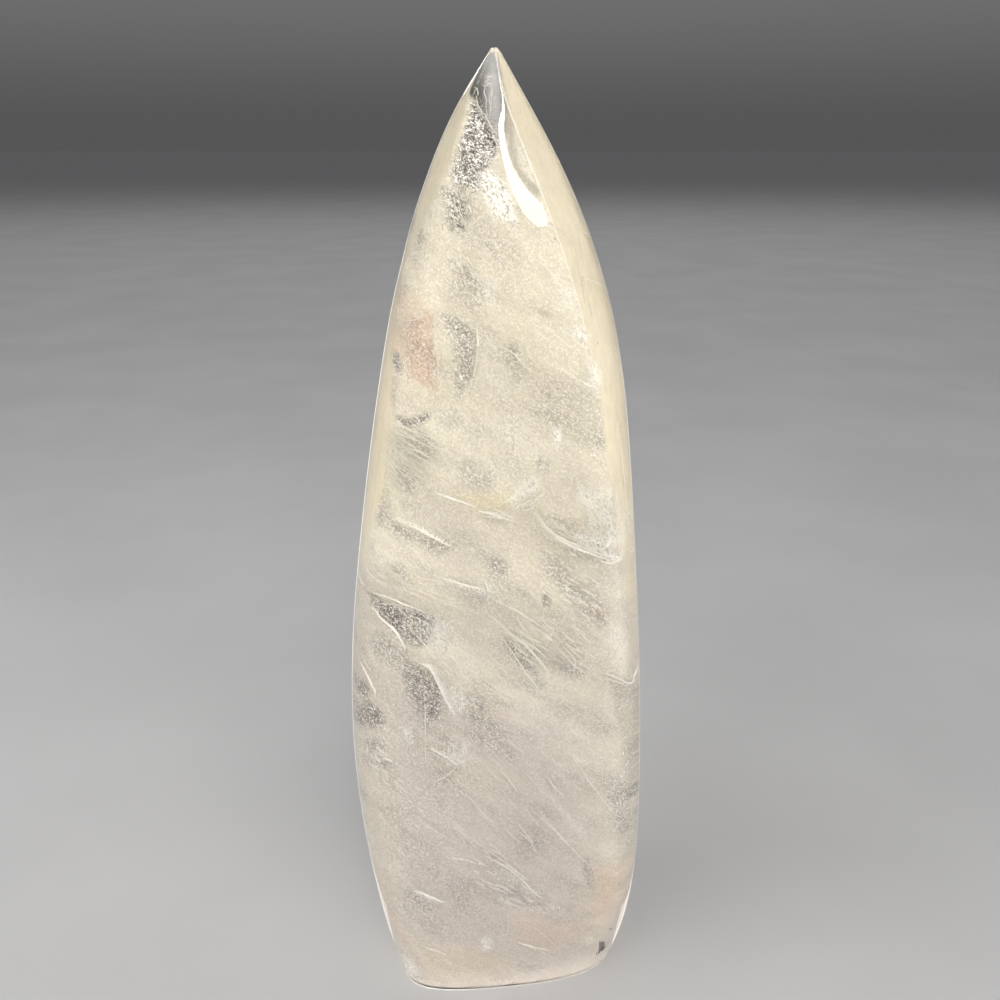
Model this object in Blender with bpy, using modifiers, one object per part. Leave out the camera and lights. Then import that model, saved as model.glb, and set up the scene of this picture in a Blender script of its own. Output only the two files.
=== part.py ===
"""Quartz point: a single flame-shaped stone, ground by hand to a polished freeform and cut flat to stand.

Six long facets rise from the foot and meet in a small blunt tip.  Their ridges are crisp at the tip and
melt into one soft belly below it.  Units are metres, +Z is up, the front face looks along -Y, and the
stone stands on z = 0 with its box centred on the Z axis.
"""

import bmesh
import bpy
from mathutils import Vector

NAME = "quartz_point"

HEIGHT = 0.344

# Stations of the grinding, from the foot to the tip.  Each row is the height over HEIGHT, then how far
# the stone reaches to its left, right, front and back of the Z axis.
STATIONS = (
    # height, left, right, front, back
    (0.000, 0.0395, 0.0525, 0.0295, 0.0275),
    (0.045, 0.0455, 0.0575, 0.0315, 0.0315),
    (0.140, 0.0530, 0.0605, 0.0370, 0.0395),
    (0.270, 0.0585, 0.0585, 0.0420, 0.0445),
    (0.410, 0.0570, 0.0560, 0.0435, 0.0450),
    (0.540, 0.0510, 0.0520, 0.0420, 0.0420),
    (0.650, 0.0465, 0.0495, 0.0380, 0.0380),
    (0.740, 0.0410, 0.0430, 0.0325, 0.0330),
    (0.820, 0.0335, 0.0295, 0.0260, 0.0265),
    (0.890, 0.0240, 0.0195, 0.0190, 0.0190),
    (0.945, 0.0150, 0.0115, 0.0130, 0.0125),
    (0.982, 0.0060, 0.0045, 0.0050, 0.0050),
    (1.000, 0.0015, 0.0007, 0.0010, 0.0010),
)

# The heights over HEIGHT at which the sections below are given.  The belly's holds between its two.
SECTION_HEIGHTS = (
    ("foot", (0.00, 0.00)),
    ("belly", (0.20, 0.55)),
    ("shoulder", (0.74, 0.74)),
    ("neck", (0.87, 0.87)),
    ("tip", (1.00, 1.00)),
)

# The eight columns of the cage, anticlockwise from above.  Each gives the share of the station's reach
# that it lies across (right is positive) and deep (back is positive), section by section.
COLUMNS = (
    # name, foot, belly, shoulder, neck, tip
    ("front", (-0.10, -1.04), (0.00, -1.00), (0.00, -1.00), (-0.05, -1.02), (-0.20, -1.04)),
    ("front_right", (0.74, -0.85), (0.98, -0.85), (0.78, -0.89), (0.76, -0.89), (0.02, -1.00)),
    ("right", (1.00, -0.10), (0.87, -0.44), (0.98, -0.35), (1.29, -0.36), (1.00, -0.15)),
    ("back_right", (0.80, 0.80), (1.00, 0.53), (0.80, 0.45), (0.83, 0.46), (0.60, 0.90)),
    ("back", (0.00, 1.00), (0.00, 1.00), (0.00, 1.00), (0.00, 1.02), (0.00, 1.04)),
    ("back_left", (-0.78, 0.80), (-0.80, 0.79), (-0.71, 0.74), (-0.64, 0.73), (-0.59, 0.95)),
    ("left", (-1.00, -0.02), (-1.00, 0.00), (-1.00, 0.01), (-1.00, 0.02), (-1.00, 0.05)),
    ("front_left", (-0.98, -1.12), (-0.90, -0.82), (-0.75, -0.84), (-0.63, -0.81), (-0.65, -1.00)),
)

# The columns that are ridges.  Each is soft below the first height over HEIGHT and crisp above the second.
RIDGES = {
    "front_right": (0.64, 0.90),
    "right": (0.56, 0.84),
    "back_right": (0.68, 0.94),
    "back_left": (0.68, 0.94),
    "left": (0.68, 0.94),
    "front_left": (0.64, 0.90),
}

SMOOTHING = 2  # subdivisions of the cage
RIDGE_CREASE = 0.45  # the crease that so many subdivisions leave quite sharp

QUARTZ_COLOUR = (0.86, 0.83, 0.76, 1.0)
QUARTZ_ROUGHNESS = 0.04
QUARTZ_IOR = 1.544


def clear_scene():
    for thing in list(bpy.data.objects):
        bpy.data.objects.remove(thing, do_unlink=True)


def eased(value, limits):
    """0 below the first limit and 1 above the second, with a smooth turn between them."""
    low, high = limits
    share = min(max((value - low) / (high - low), 0.0), 1.0)
    return share * share * (3 - 2 * share)


def section_point(sections, share):
    """Where a column lies at a height, from the two sections on either side of it."""
    heights = [height for _, pair in SECTION_HEIGHTS for height in pair]
    points = [Vector(section) for section in sections for _ in range(2)]
    for low, high, lower, upper in zip(heights, heights[1:], points, points[1:]):
        if low < high and share <= high:
            return lower.lerp(upper, (share - low) / (high - low))
    return points[-1]


def ring_of(station):
    """The eight cage points of one station."""
    share, left, right, front, back = station
    points = []
    for _, *sections in COLUMNS:
        across, deep = section_point(sections, share)
        x = across * (right if across > 0 else left)
        y = deep * (back if deep > 0 else front)
        points.append(Vector((x, y, share * HEIGHT)))
    return points


def build_cage():
    """The foot's outline, pulled up through the stations, with its ridges creased towards the tip."""
    cage = bmesh.new()
    crease = cage.edges.layers.float.new("crease_edge")
    rings = [[cage.verts.new(point) for point in ring_of(row)] for row in STATIONS]
    cage.faces.new(reversed(rings[0]))
    cage.faces.new(rings[-1])
    count = len(COLUMNS)
    for lower, upper, row in zip(rings, rings[1:], STATIONS[1:]):
        for i in range(count):
            j = (i + 1) % count
            cage.faces.new((lower[i], lower[j], upper[j], upper[i]))
        for i, (name, *_) in enumerate(COLUMNS):
            if name in RIDGES:
                cage.edges.get((lower[i], upper[i]))[crease] = RIDGE_CREASE * eased(row[0], RIDGES[name])
    for ring in (rings[0], rings[-1]):
        for i in range(count):
            cage.edges.get((ring[i], ring[(i + 1) % count]))[crease] = 1.0
    return cage


def quartz_material():
    material = bpy.data.materials.new("quartz")
    material.use_nodes = True
    shader = material.node_tree.nodes["Principled BSDF"]
    shader.inputs["Base Color"].default_value = QUARTZ_COLOUR
    shader.inputs["Roughness"].default_value = QUARTZ_ROUGHNESS
    shader.inputs["Metallic"].default_value = 0.0
    shader.inputs["IOR"].default_value = QUARTZ_IOR
    shader.inputs["Transmission Weight"].default_value = 1.0
    return material


def build_stone(collection):
    mesh = bpy.data.meshes.new(NAME)
    cage = build_cage()
    bmesh.ops.recalc_face_normals(cage, faces=cage.faces)
    cage.to_mesh(mesh)
    cage.free()
    mesh.materials.append(quartz_material())
    stone = bpy.data.objects.new(NAME, mesh)
    collection.objects.link(stone)
    polish = stone.modifiers.new("polish", "SUBSURF")
    polish.levels = SMOOTHING
    polish.render_levels = SMOOTHING
    mesh.shade_smooth()
    return stone


def main():
    clear_scene()
    collection = bpy.data.collections.new("quartz_point_parts")
    bpy.context.scene.collection.children.link(collection)
    return build_stone(collection)


if __name__ == "__main__":
    main()
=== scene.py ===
import math
from random import Random

import bmesh
import bpy
import numpy as np
from bpy.props import FloatProperty, FloatVectorProperty, IntProperty, PointerProperty
from mathutils import Matrix, Vector, noise
from mathutils.bvhtree import BVHTree


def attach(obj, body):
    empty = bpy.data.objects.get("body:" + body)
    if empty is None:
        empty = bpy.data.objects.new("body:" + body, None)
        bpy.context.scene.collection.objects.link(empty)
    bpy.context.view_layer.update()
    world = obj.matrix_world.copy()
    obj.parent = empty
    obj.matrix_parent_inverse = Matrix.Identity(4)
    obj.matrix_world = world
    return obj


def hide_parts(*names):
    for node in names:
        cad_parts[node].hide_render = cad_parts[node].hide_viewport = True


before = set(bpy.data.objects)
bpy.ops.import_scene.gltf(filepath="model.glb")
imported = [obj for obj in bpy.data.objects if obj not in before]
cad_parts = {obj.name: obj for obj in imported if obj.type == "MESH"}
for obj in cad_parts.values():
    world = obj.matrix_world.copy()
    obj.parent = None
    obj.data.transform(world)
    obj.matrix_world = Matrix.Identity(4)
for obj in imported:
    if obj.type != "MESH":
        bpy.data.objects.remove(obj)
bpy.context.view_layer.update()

bl_info = {
    "name": "Quartz point",
    "version": (1, 0, 0),
    "blender": (4, 5, 0),
    "location": "3D View > Sidebar > Quartz",
    "description": "Looks of the polished quartz point: skin, milky heart, veils, flakes and stage",
    "category": "Add Mesh",
}

STONE_NODE = "quartz_point"
BODY = "root"
MM = 0.001
QUARTZ_IOR = 1.544
# Facings, in degrees about the stone: 0 is the front, 90 the right side, 180 the back.
FRONT = 0
ALL_ROUND = (-180, 180)
SIDES_AND_BACK = (78, 282)
# Half widths (mm) that strewn marks keep to on the broad and the narrow sides, and over how many mm below the
# stone's top they narrow.
BROAD_HALF, NARROW_HALF = 40.0, 26.0
TOP, TAPER = 344.0, 150.0
# Half thickness (mm) of a strewn patch of hollow or cloud.
PATCH_THICK = 15.0
# Hollows at least this strong are left alone by the hollow gain.
STRONG_HOLLOW = 0.6
# What makes the rims of all marks ragged: scales of noise and how far (mm) each shifts a place.
RAGGED = ((420.0, 0.7), (130.0, 1.1))
# Noise that gives vectors takes its seed from the clock unless it is told one.
NOISE_SEED = 1
# Shares of its span at which a stroke is told, to bow it.
BOW_SHARES = (0, 0.33, 0.66, 1)

# Layers of milk under the skin: shares of the stone's width and depth, and the height (mm) of the foot's cut.
HEART_LAYER = (0.87, 0.84, 0.25)
OUTER_LAYER = (0.945, 0.932, 0.8)
# Sizes of their lumps, and the outer layer's mesh cells and lump depth (m).
HEART_LUMPS, OUTER_LUMPS = 0.012, 0.02
OUTER_VOXEL, OUTER_LUMP_DEPTH = 1.8 * MM, 0.6 * MM
# How much the heart's foot spreads across and in depth to reach the skin, up to which height (m) in full and
# over which height it fades.
FOOT_SPREAD = (0.138, 0.18)
FOOT_UP, FOOT_FADE = 1.0 * MM, 8.0 * MM
# Marks stored on the points of each layer.
MARKS = ("hollow", "cloud", "rust", "straw", "smooth", "dusk", "crush", "strokes", "frost")
# How far a place seen from the front sinks for each mm that it lies deeper, by height (mm).
SINK = (
    (0.0, 0.40), (70.0, 0.38), (115.0, 0.35), (155.0, 0.32), (190.0, 0.28), (255.0, 0.20), (315.0, 0.12),
    (344.0, 0.2),
)

# Patterns of noise: turn (degrees), stretch along the turned axes, scale, detail, roughness and distortion.
PATTERNS = {
    "drift": (35.0, (2.2, 1.5, 1.0), 48.0, 4.0, 0.6, 0.0),
    "grain": (40.0, (4.0, 2.0, 1.0), 420.0, 4.0, 0.62, 0.0),
    "flecks": (48.0, (1.5, 1.3, 1.0), 1350.0, 2.0, 0.6, 0.0),
    "fine flecks": (46.0, (1.25, 1.1, 1.0), 2300.0, 2.0, 0.6, 0.0),
    "layer flecks": (44.0, (2.4, 1.3, 1.0), 2600.0, 2.0, 0.6, 0.0),
    "bright hairs": (38.0, (14.0, 4.0, 1.0), 1100.0, 2.0, 0.5, 0.0),
    "frost hairs": (56.0, (3.2, 1.0, 1.0), 1750.0, 2.0, 0.6, 0.9),
    "shade": (38.0, (2.6, 1.6, 1.0), 105.0, 5.0, 0.62, 0.0),
    "squiggles": (42.0, (2.0, 1.0, 1.0), 980.0, 2.0, 0.6, 2.0),
    "dashes": (36.0, (4.5, 1.0, 1.0), 950.0, 2.0, 0.55, 0.0),
    "streaks": (4.0, (1.0, 1.0, 26.0), 650.0, 2.0, 0.5, 0.0),
}
# Height (m) over which the milk turns from ash to cream.
WARM_FROM, WARM_TO = 0.09, 0.215
PIT_COLOUR = (0.045, 0.04, 0.036)

# The clear window below the tip, seen from the front: outline across and up (mm).
WINDOW = (
    (-0.6, 342.6), (-3.4, 340.2), (-5.2, 336.0), (-6.6, 332.5), (-7.6, 330.0), (-6.6, 328.6), (-5.8, 326.6),
    (-4.6, 324.6), (-3.0, 322.2), (-1.2, 319.6), (1.0, 317.4), (2.4, 317.6), (2.2, 324.0), (1.9, 330.5),
    (0.8, 336.5), (0.2, 341.5),
)
# Outline of the rust panel and of the hollow behind it.
RUST_PANEL = (
    (-26.4, 262.3), (-20.5, 266.0), (-19.9, 256.4), (-18.9, 245.4), (-18.4, 239.8), (-23.8, 242.6),
    (-27.0, 244.2), (-26.9, 255.2),
)
# Hollows where the milk thins out, seen from the front: name, outline across and up (mm), strength and
# softness (mm).
# The milk's thinning is real; the dark seen through the clearer quartz there is painted shade.
HOLLOWS = (
    ("tip window", ((-1.1, 342.5), (-2.9, 340.0), (-4.1, 335.8), (-5.0, 333.5), (-6.3, 330.4), (-5.1, 327.9),
     (-4.5, 325.3), (-2.4, 323.5), (-1.1, 320.2), (1.0, 318.3), (2.2, 318.3), (1.9, 324.9), (1.5, 330.9),
     (0.5, 336.2), (-0.5, 340.8)), 1.0, 0.4),
    ("tip crush", ((-6.8, 329.6), (-4.5, 324.9), (-1.9, 321.6), (0.8, 318.0), (0.5, 312.4), (-3.0, 308.7),
     (-5.1, 305.7), (-5.5, 301.6), (-8.4, 303.1), (-12.9, 303.7), (-12.1, 312.2), (-9.7, 319.0),
     (-8.5, 324.4)), 0.62, 0.9),
    ("tip crumbs", ((-15.8, 301.5), (-12.5, 303.3), (-10.0, 299.7), (-8.1, 293.7), (-9.6, 288.8),
     (-13.9, 291.7)), 0.5, 1.2),
    # Painted shade beside the bent strip lamp's highlight.
    ("tip haze", ((2.6, 326.4), (4.4, 324.9), (6.3, 318.9), (6.5, 314.2), (7.0, 308.7), (5.0, 309.4),
     (3.1, 315.0)), 0.22, 1.0),
    ("pillar", ((-17.1, 264.8), (-12.8, 263.3), (-8.9, 261.0), (-6.7, 259.7), (-6.1, 257.0), (-6.7, 252.6),
     (-6.9, 246.5), (-9.0, 242.5), (-11.3, 238.0), (-12.6, 243.0), (-12.0, 248.0), (-13.1, 252.9),
     (-14.6, 257.2), (-16.3, 261.5)), 0.5, 1.1),
    ("pillar heart", ((-10.9, 258.2), (-7.9, 257.7), (-7.2, 253.1), (-7.1, 247.0), (-8.3, 245.6),
     (-9.8, 250.3)), 0.42, 0.9),
    ("pillar crest", ((-16.9, 264.5), (-12.2, 262.8), (-8.9, 260.4), (-8.9, 258.0), (-12.8, 259.5),
     (-16.3, 262.1)), 0.35, 0.8),
    ("flank fleck", ((-31.0, 249.6), (-29.1, 249.9), (-29.3, 245.8), (-30.8, 244.1), (-31.3, 246.5)), 0.6,
     0.8),
    ("left bank", ((-32.5, 244.2), (-30.5, 244.2), (-30.8, 234.3), (-33.5, 233.0)), 0.25, 1.2),
    ("ragged line", ((-30.6, 230.7), (-25.7, 231.1), (-22.5, 233.1), (-20.5, 234.9), (-21.1, 232.3),
     (-25.7, 228.5), (-30.4, 228.0)), 0.75, 0.7),
    ("ragged shade", ((-30.9, 227.5), (-24.2, 229.1), (-19.2, 225.0), (-18.7, 219.3), (-23.9, 218.2),
     (-29.8, 221.1)), 0.42, 1.6),
    ("ragged tail", ((-18.5, 234.2), (-12.4, 235.1), (-11.3, 231.8), (-14.7, 228.8), (-18.6, 229.6)), 0.32,
     1.3),
    ("left smear", ((-32.2, 215.8), (-28.2, 214.8), (-26.2, 211.4), (-25.7, 207.9), (-29.0, 205.5),
     (-31.5, 209.0)), 0.5, 1.3),
    ("under pillar", ((-13.1, 217.9), (-6.9, 219.6), (-1.5, 215.3), (-1.5, 210.3), (-5.3, 208.5),
     (-10.9, 212.1)), 0.42, 1.6),
    ("seam chink", ((4.0, 257.6), (6.3, 257.0), (7.4, 253.2), (6.9, 249.9), (4.9, 250.4), (4.3, 254.3)), 0.5,
     0.9),
    ("seam chink foot", ((4.9, 249.3), (7.1, 248.2), (7.7, 243.8), (5.5, 242.7), (4.3, 246.0)), 0.3, 1.0),
    ("right chink", ((12.6, 223.1), (14.0, 221.0), (16.9, 215.7), (16.1, 214.5), (13.5, 217.0),
     (12.4, 220.5)), 0.5, 1.0),
    ("right shade", ((16.0, 246.4), (24.4, 246.0), (31.6, 239.6), (34.5, 224.5), (32.1, 218.7),
     (24.7, 227.5), (13.4, 231.3), (8.9, 236.0)), 0.26, 2.5),
    ("right shade fleck", ((30.7, 228.6), (34.3, 227.4), (35.0, 221.5), (31.4, 222.8)), 0.4, 1.0),
    ("left notch", ((-34.1, 197.2), (-27.2, 195.0), (-19.8, 192.9), (-16.0, 191.3), (-11.7, 189.3),
     (-21.1, 188.6), (-26.7, 190.9), (-32.5, 193.5)), 0.58, 1.1),
    ("notch foot", ((-23.9, 191.7), (-16.2, 190.6), (-17.4, 187.3), (-22.1, 187.5)), 0.32, 1.2),
    ("flush chink", ((-30.5, 203.9), (-24.7, 202.7), (-25.3, 200.2), (-30.3, 201.6)), 0.35, 1.0),
    ("left smudge", ((-37.6, 200.8), (-34.4, 202.6), (-35.0, 193.5), (-37.8, 192.7)), 0.35, 1.4),
    ("right lines", ((16.5, 200.9), (25.2, 198.0), (27.0, 193.0), (19.5, 195.9)), 0.35, 1.3),
    ("top strokes", ((-13.7, 281.5), (-8.8, 280.6), (-5.6, 275.3), (-3.4, 268.9), (-6.7, 268.3),
     (-12.2, 275.2)), 0.36, 1.4),
    ("upper fleck", ((11.5, 268.3), (16.4, 265.5), (17.6, 262.8), (13.2, 264.5)), 0.25, 1.2),
    ("left haze", ((-35.9, 181.2), (-30.1, 182.7), (-27.5, 178.3), (-27.6, 174.7), (-31.3, 174.5),
     (-34.7, 176.6)), 0.42, 1.6),
    ("centre smudge", ((-1.8, 187.3), (2.9, 186.7), (4.8, 183.5), (1.8, 181.6), (-1.2, 183.5)), 0.48, 1.3),
    ("right haze", ((13.7, 188.8), (19.8, 187.3), (26.3, 180.7), (33.2, 173.4), (37.4, 167.4), (37.7, 161.3),
     (33.2, 160.3), (28.2, 164.6), (21.9, 173.1), (16.0, 180.0)), 0.42, 2.0),
    ("right haze heart", ((30.5, 169.8), (35.2, 169.8), (37.2, 164.7), (33.8, 162.6), (30.6, 165.7)), 0.35,
     1.6),
    ("right haze crest", ((17.4, 185.1), (21.7, 183.0), (24.3, 178.3), (20.6, 178.5)), 0.3, 1.4),
    ("eye", ((16.7, 173.7), (18.2, 173.3), (18.0, 170.0), (16.5, 169.1), (16.1, 171.4)), 0.6, 0.6),
    ("slit", ((2.3, 160.2), (7.0, 154.1), (12.1, 146.9), (17.2, 139.6), (15.9, 138.1), (9.3, 145.4),
     (4.7, 152.5), (1.6, 158.2)), 0.52, 0.6),
    ("slit shade", ((2.4, 164.3), (6.7, 162.2), (15.4, 153.1), (13.6, 150.4), (6.7, 156.1)), 0.2, 1.2),
    ("right strokes", ((10.4, 164.9), (20.9, 161.8), (27.7, 155.1), (29.5, 149.3), (24.2, 151.2),
     (16.6, 157.2)), 0.26, 1.6),
    ("right strokes foot", ((23.6, 149.9), (29.2, 148.0), (31.3, 142.1), (26.8, 143.2)), 0.38, 1.4),
    ("big window", ((-40.8, 166.9), (-37.1, 167.7), (-31.2, 167.5), (-25.5, 166.3), (-21.5, 163.9),
     (-21.0, 159.2), (-23.0, 154.1), (-27.9, 151.2), (-33.0, 156.3), (-38.9, 160.3)), 0.7, 1.4),
    ("big window heart", ((-39.0, 163.7), (-34.1, 164.9), (-31.6, 162.9), (-32.1, 158.0), (-34.9, 157.5),
     (-38.1, 160.3)), 0.85, 1.3),
    ("window dots", ((-25.0, 166.1), (-15.3, 164.4), (-13.6, 158.4), (-18.0, 152.5), (-22.4, 153.5)), 0.35,
     1.6),
    ("under blade", ((-41.6, 153.9), (-36.9, 154.8), (-33.2, 151.8), (-30.1, 150.2), (-28.4, 146.6),
     (-31.4, 141.8), (-36.7, 142.7), (-40.5, 145.7)), 0.52, 1.4),
    ("lower window", ((-31.3, 145.0), (-26.8, 146.2), (-22.5, 145.1), (-20.6, 141.0), (-18.9, 134.6),
     (-20.1, 126.4), (-24.4, 122.9), (-29.1, 132.5), (-32.3, 139.0)), 0.66, 1.6),
    ("lower window foot", ((-25.2, 131.6), (-19.7, 133.1), (-19.1, 126.5), (-23.0, 123.9)), 0.32, 1.4),
    ("rim window", ((-46.8, 130.4), (-45.5, 132.6), (-42.4, 131.8), (-42.0, 129.5), (-45.1, 126.5),
     (-47.0, 124.5)), 0.62, 1.1),
    ("rim haze", ((-47.3, 120.4), (-43.1, 126.6), (-39.6, 124.0), (-38.6, 119.3), (-42.1, 115.7),
     (-47.3, 111.5)), 0.68, 1.6),
    ("rim haze foot", ((-46.6, 106.1), (-42.3, 110.9), (-38.0, 108.8), (-39.4, 105.8), (-45.9, 102.3)), 0.45,
     1.4),
    ("brown haze", ((-12.6, 136.6), (-7.0, 137.2), (-3.2, 130.4), (-0.1, 124.5), (4.4, 117.0), (7.3, 110.0),
     (-5.9, 116.0), (-10.9, 125.7)), 0.36, 1.8),
    ("fringe shade", ((-21.2, 118.8), (-14.8, 117.9), (-11.1, 112.8), (-18.8, 109.8)), 0.4, 1.6),
    ("right edge specks", ((39.4, 137.8), (43.1, 134.9), (45.4, 115.6), (46.0, 100.7), (44.4, 105.0),
     (43.2, 120.3)), 0.42, 1.6),
    ("right mid specks", ((6.9, 123.7), (12.1, 121.4), (13.4, 116.8), (9.5, 118.4)), 0.28, 1.3),
    ("right edge low", ((38.2, 99.7), (44.6, 101.9), (46.2, 90.7), (47.2, 61.8), (45.3, 64.8), (41.7, 77.8)),
     0.26, 1.8),
    ("edge spot", ((44.5, 92.0), (46.2, 90.9), (46.6, 85.6), (46.0, 84.0), (45.1, 87.2)), 0.6, 0.9),
    ("violet hollow", ((6.5, 75.2), (14.5, 75.9), (16.6, 67.8), (11.3, 62.8), (6.5, 67.4)), 0.26, 2.0),
    ("foot streak", ((31.4, 63.5), (33.9, 63.5), (35.7, 56.2), (35.9, 45.6), (33.6, 48.6), (31.8, 57.1)),
     0.5, 0.9),
    ("foot hollow", ((-3.7, 53.6), (7.3, 52.9), (16.3, 47.2), (22.0, 40.3), (14.3, 38.7), (3.8, 44.1),
     (-4.4, 49.4)), 0.3, 2.0),
    ("foot hollow right", ((22.0, 40.8), (28.3, 39.3), (29.1, 35.1), (22.8, 36.8)), 0.25, 1.5),
    ("foot hollow left", ((-36.9, 44.7), (-28.4, 47.3), (-21.8, 41.2), (-27.4, 35.5), (-35.2, 36.3)), 0.26,
     2.2),
    ("left low shade", ((-45.6, 81.2), (-36.1, 88.2), (-27.2, 85.7), (-31.3, 81.5), (-41.8, 79.2)), 0.3,
     2.0),
    ("left low fringe", ((-45.9, 101.0), (-36.1, 105.1), (-37.0, 101.7), (-45.9, 93.8)), 0.42, 1.5),
    ("base middle", ((-18.8, 53.3), (-10.6, 52.1), (-9.4, 42.0), (-17.7, 40.6)), 0.15, 2.5),
    ("right foot nick", ((41.0, 27.0), (44.2, 21.6), (44.0, 16.7), (41.8, 21.9)), 0.45, 0.9),
    ("rust shade", RUST_PANEL, 0.14, 0.8),
    ("low left shade", ((-46.0, 140.0), (-30.0, 135.0), (-14.0, 105.0), (-16.0, 70.0), (-24.0, 40.0),
     (-34.0, 10.0), (-42.0, 40.0), (-47.0, 90.0)), 0.18, 6.0),
    ("dark corner", ((37.1, 21.9), (42.2, 16.3), (40.4, 2.3), (38.0, 10.5)), 0.35, 1.2),
    ("fold shade left", ((-25.5, 98.2), (-21.0, 99.7), (-12.7, 86.7), (-15.4, 84.8), (-21.9, 89.1)), 0.18,
     2.2),
)

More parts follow.
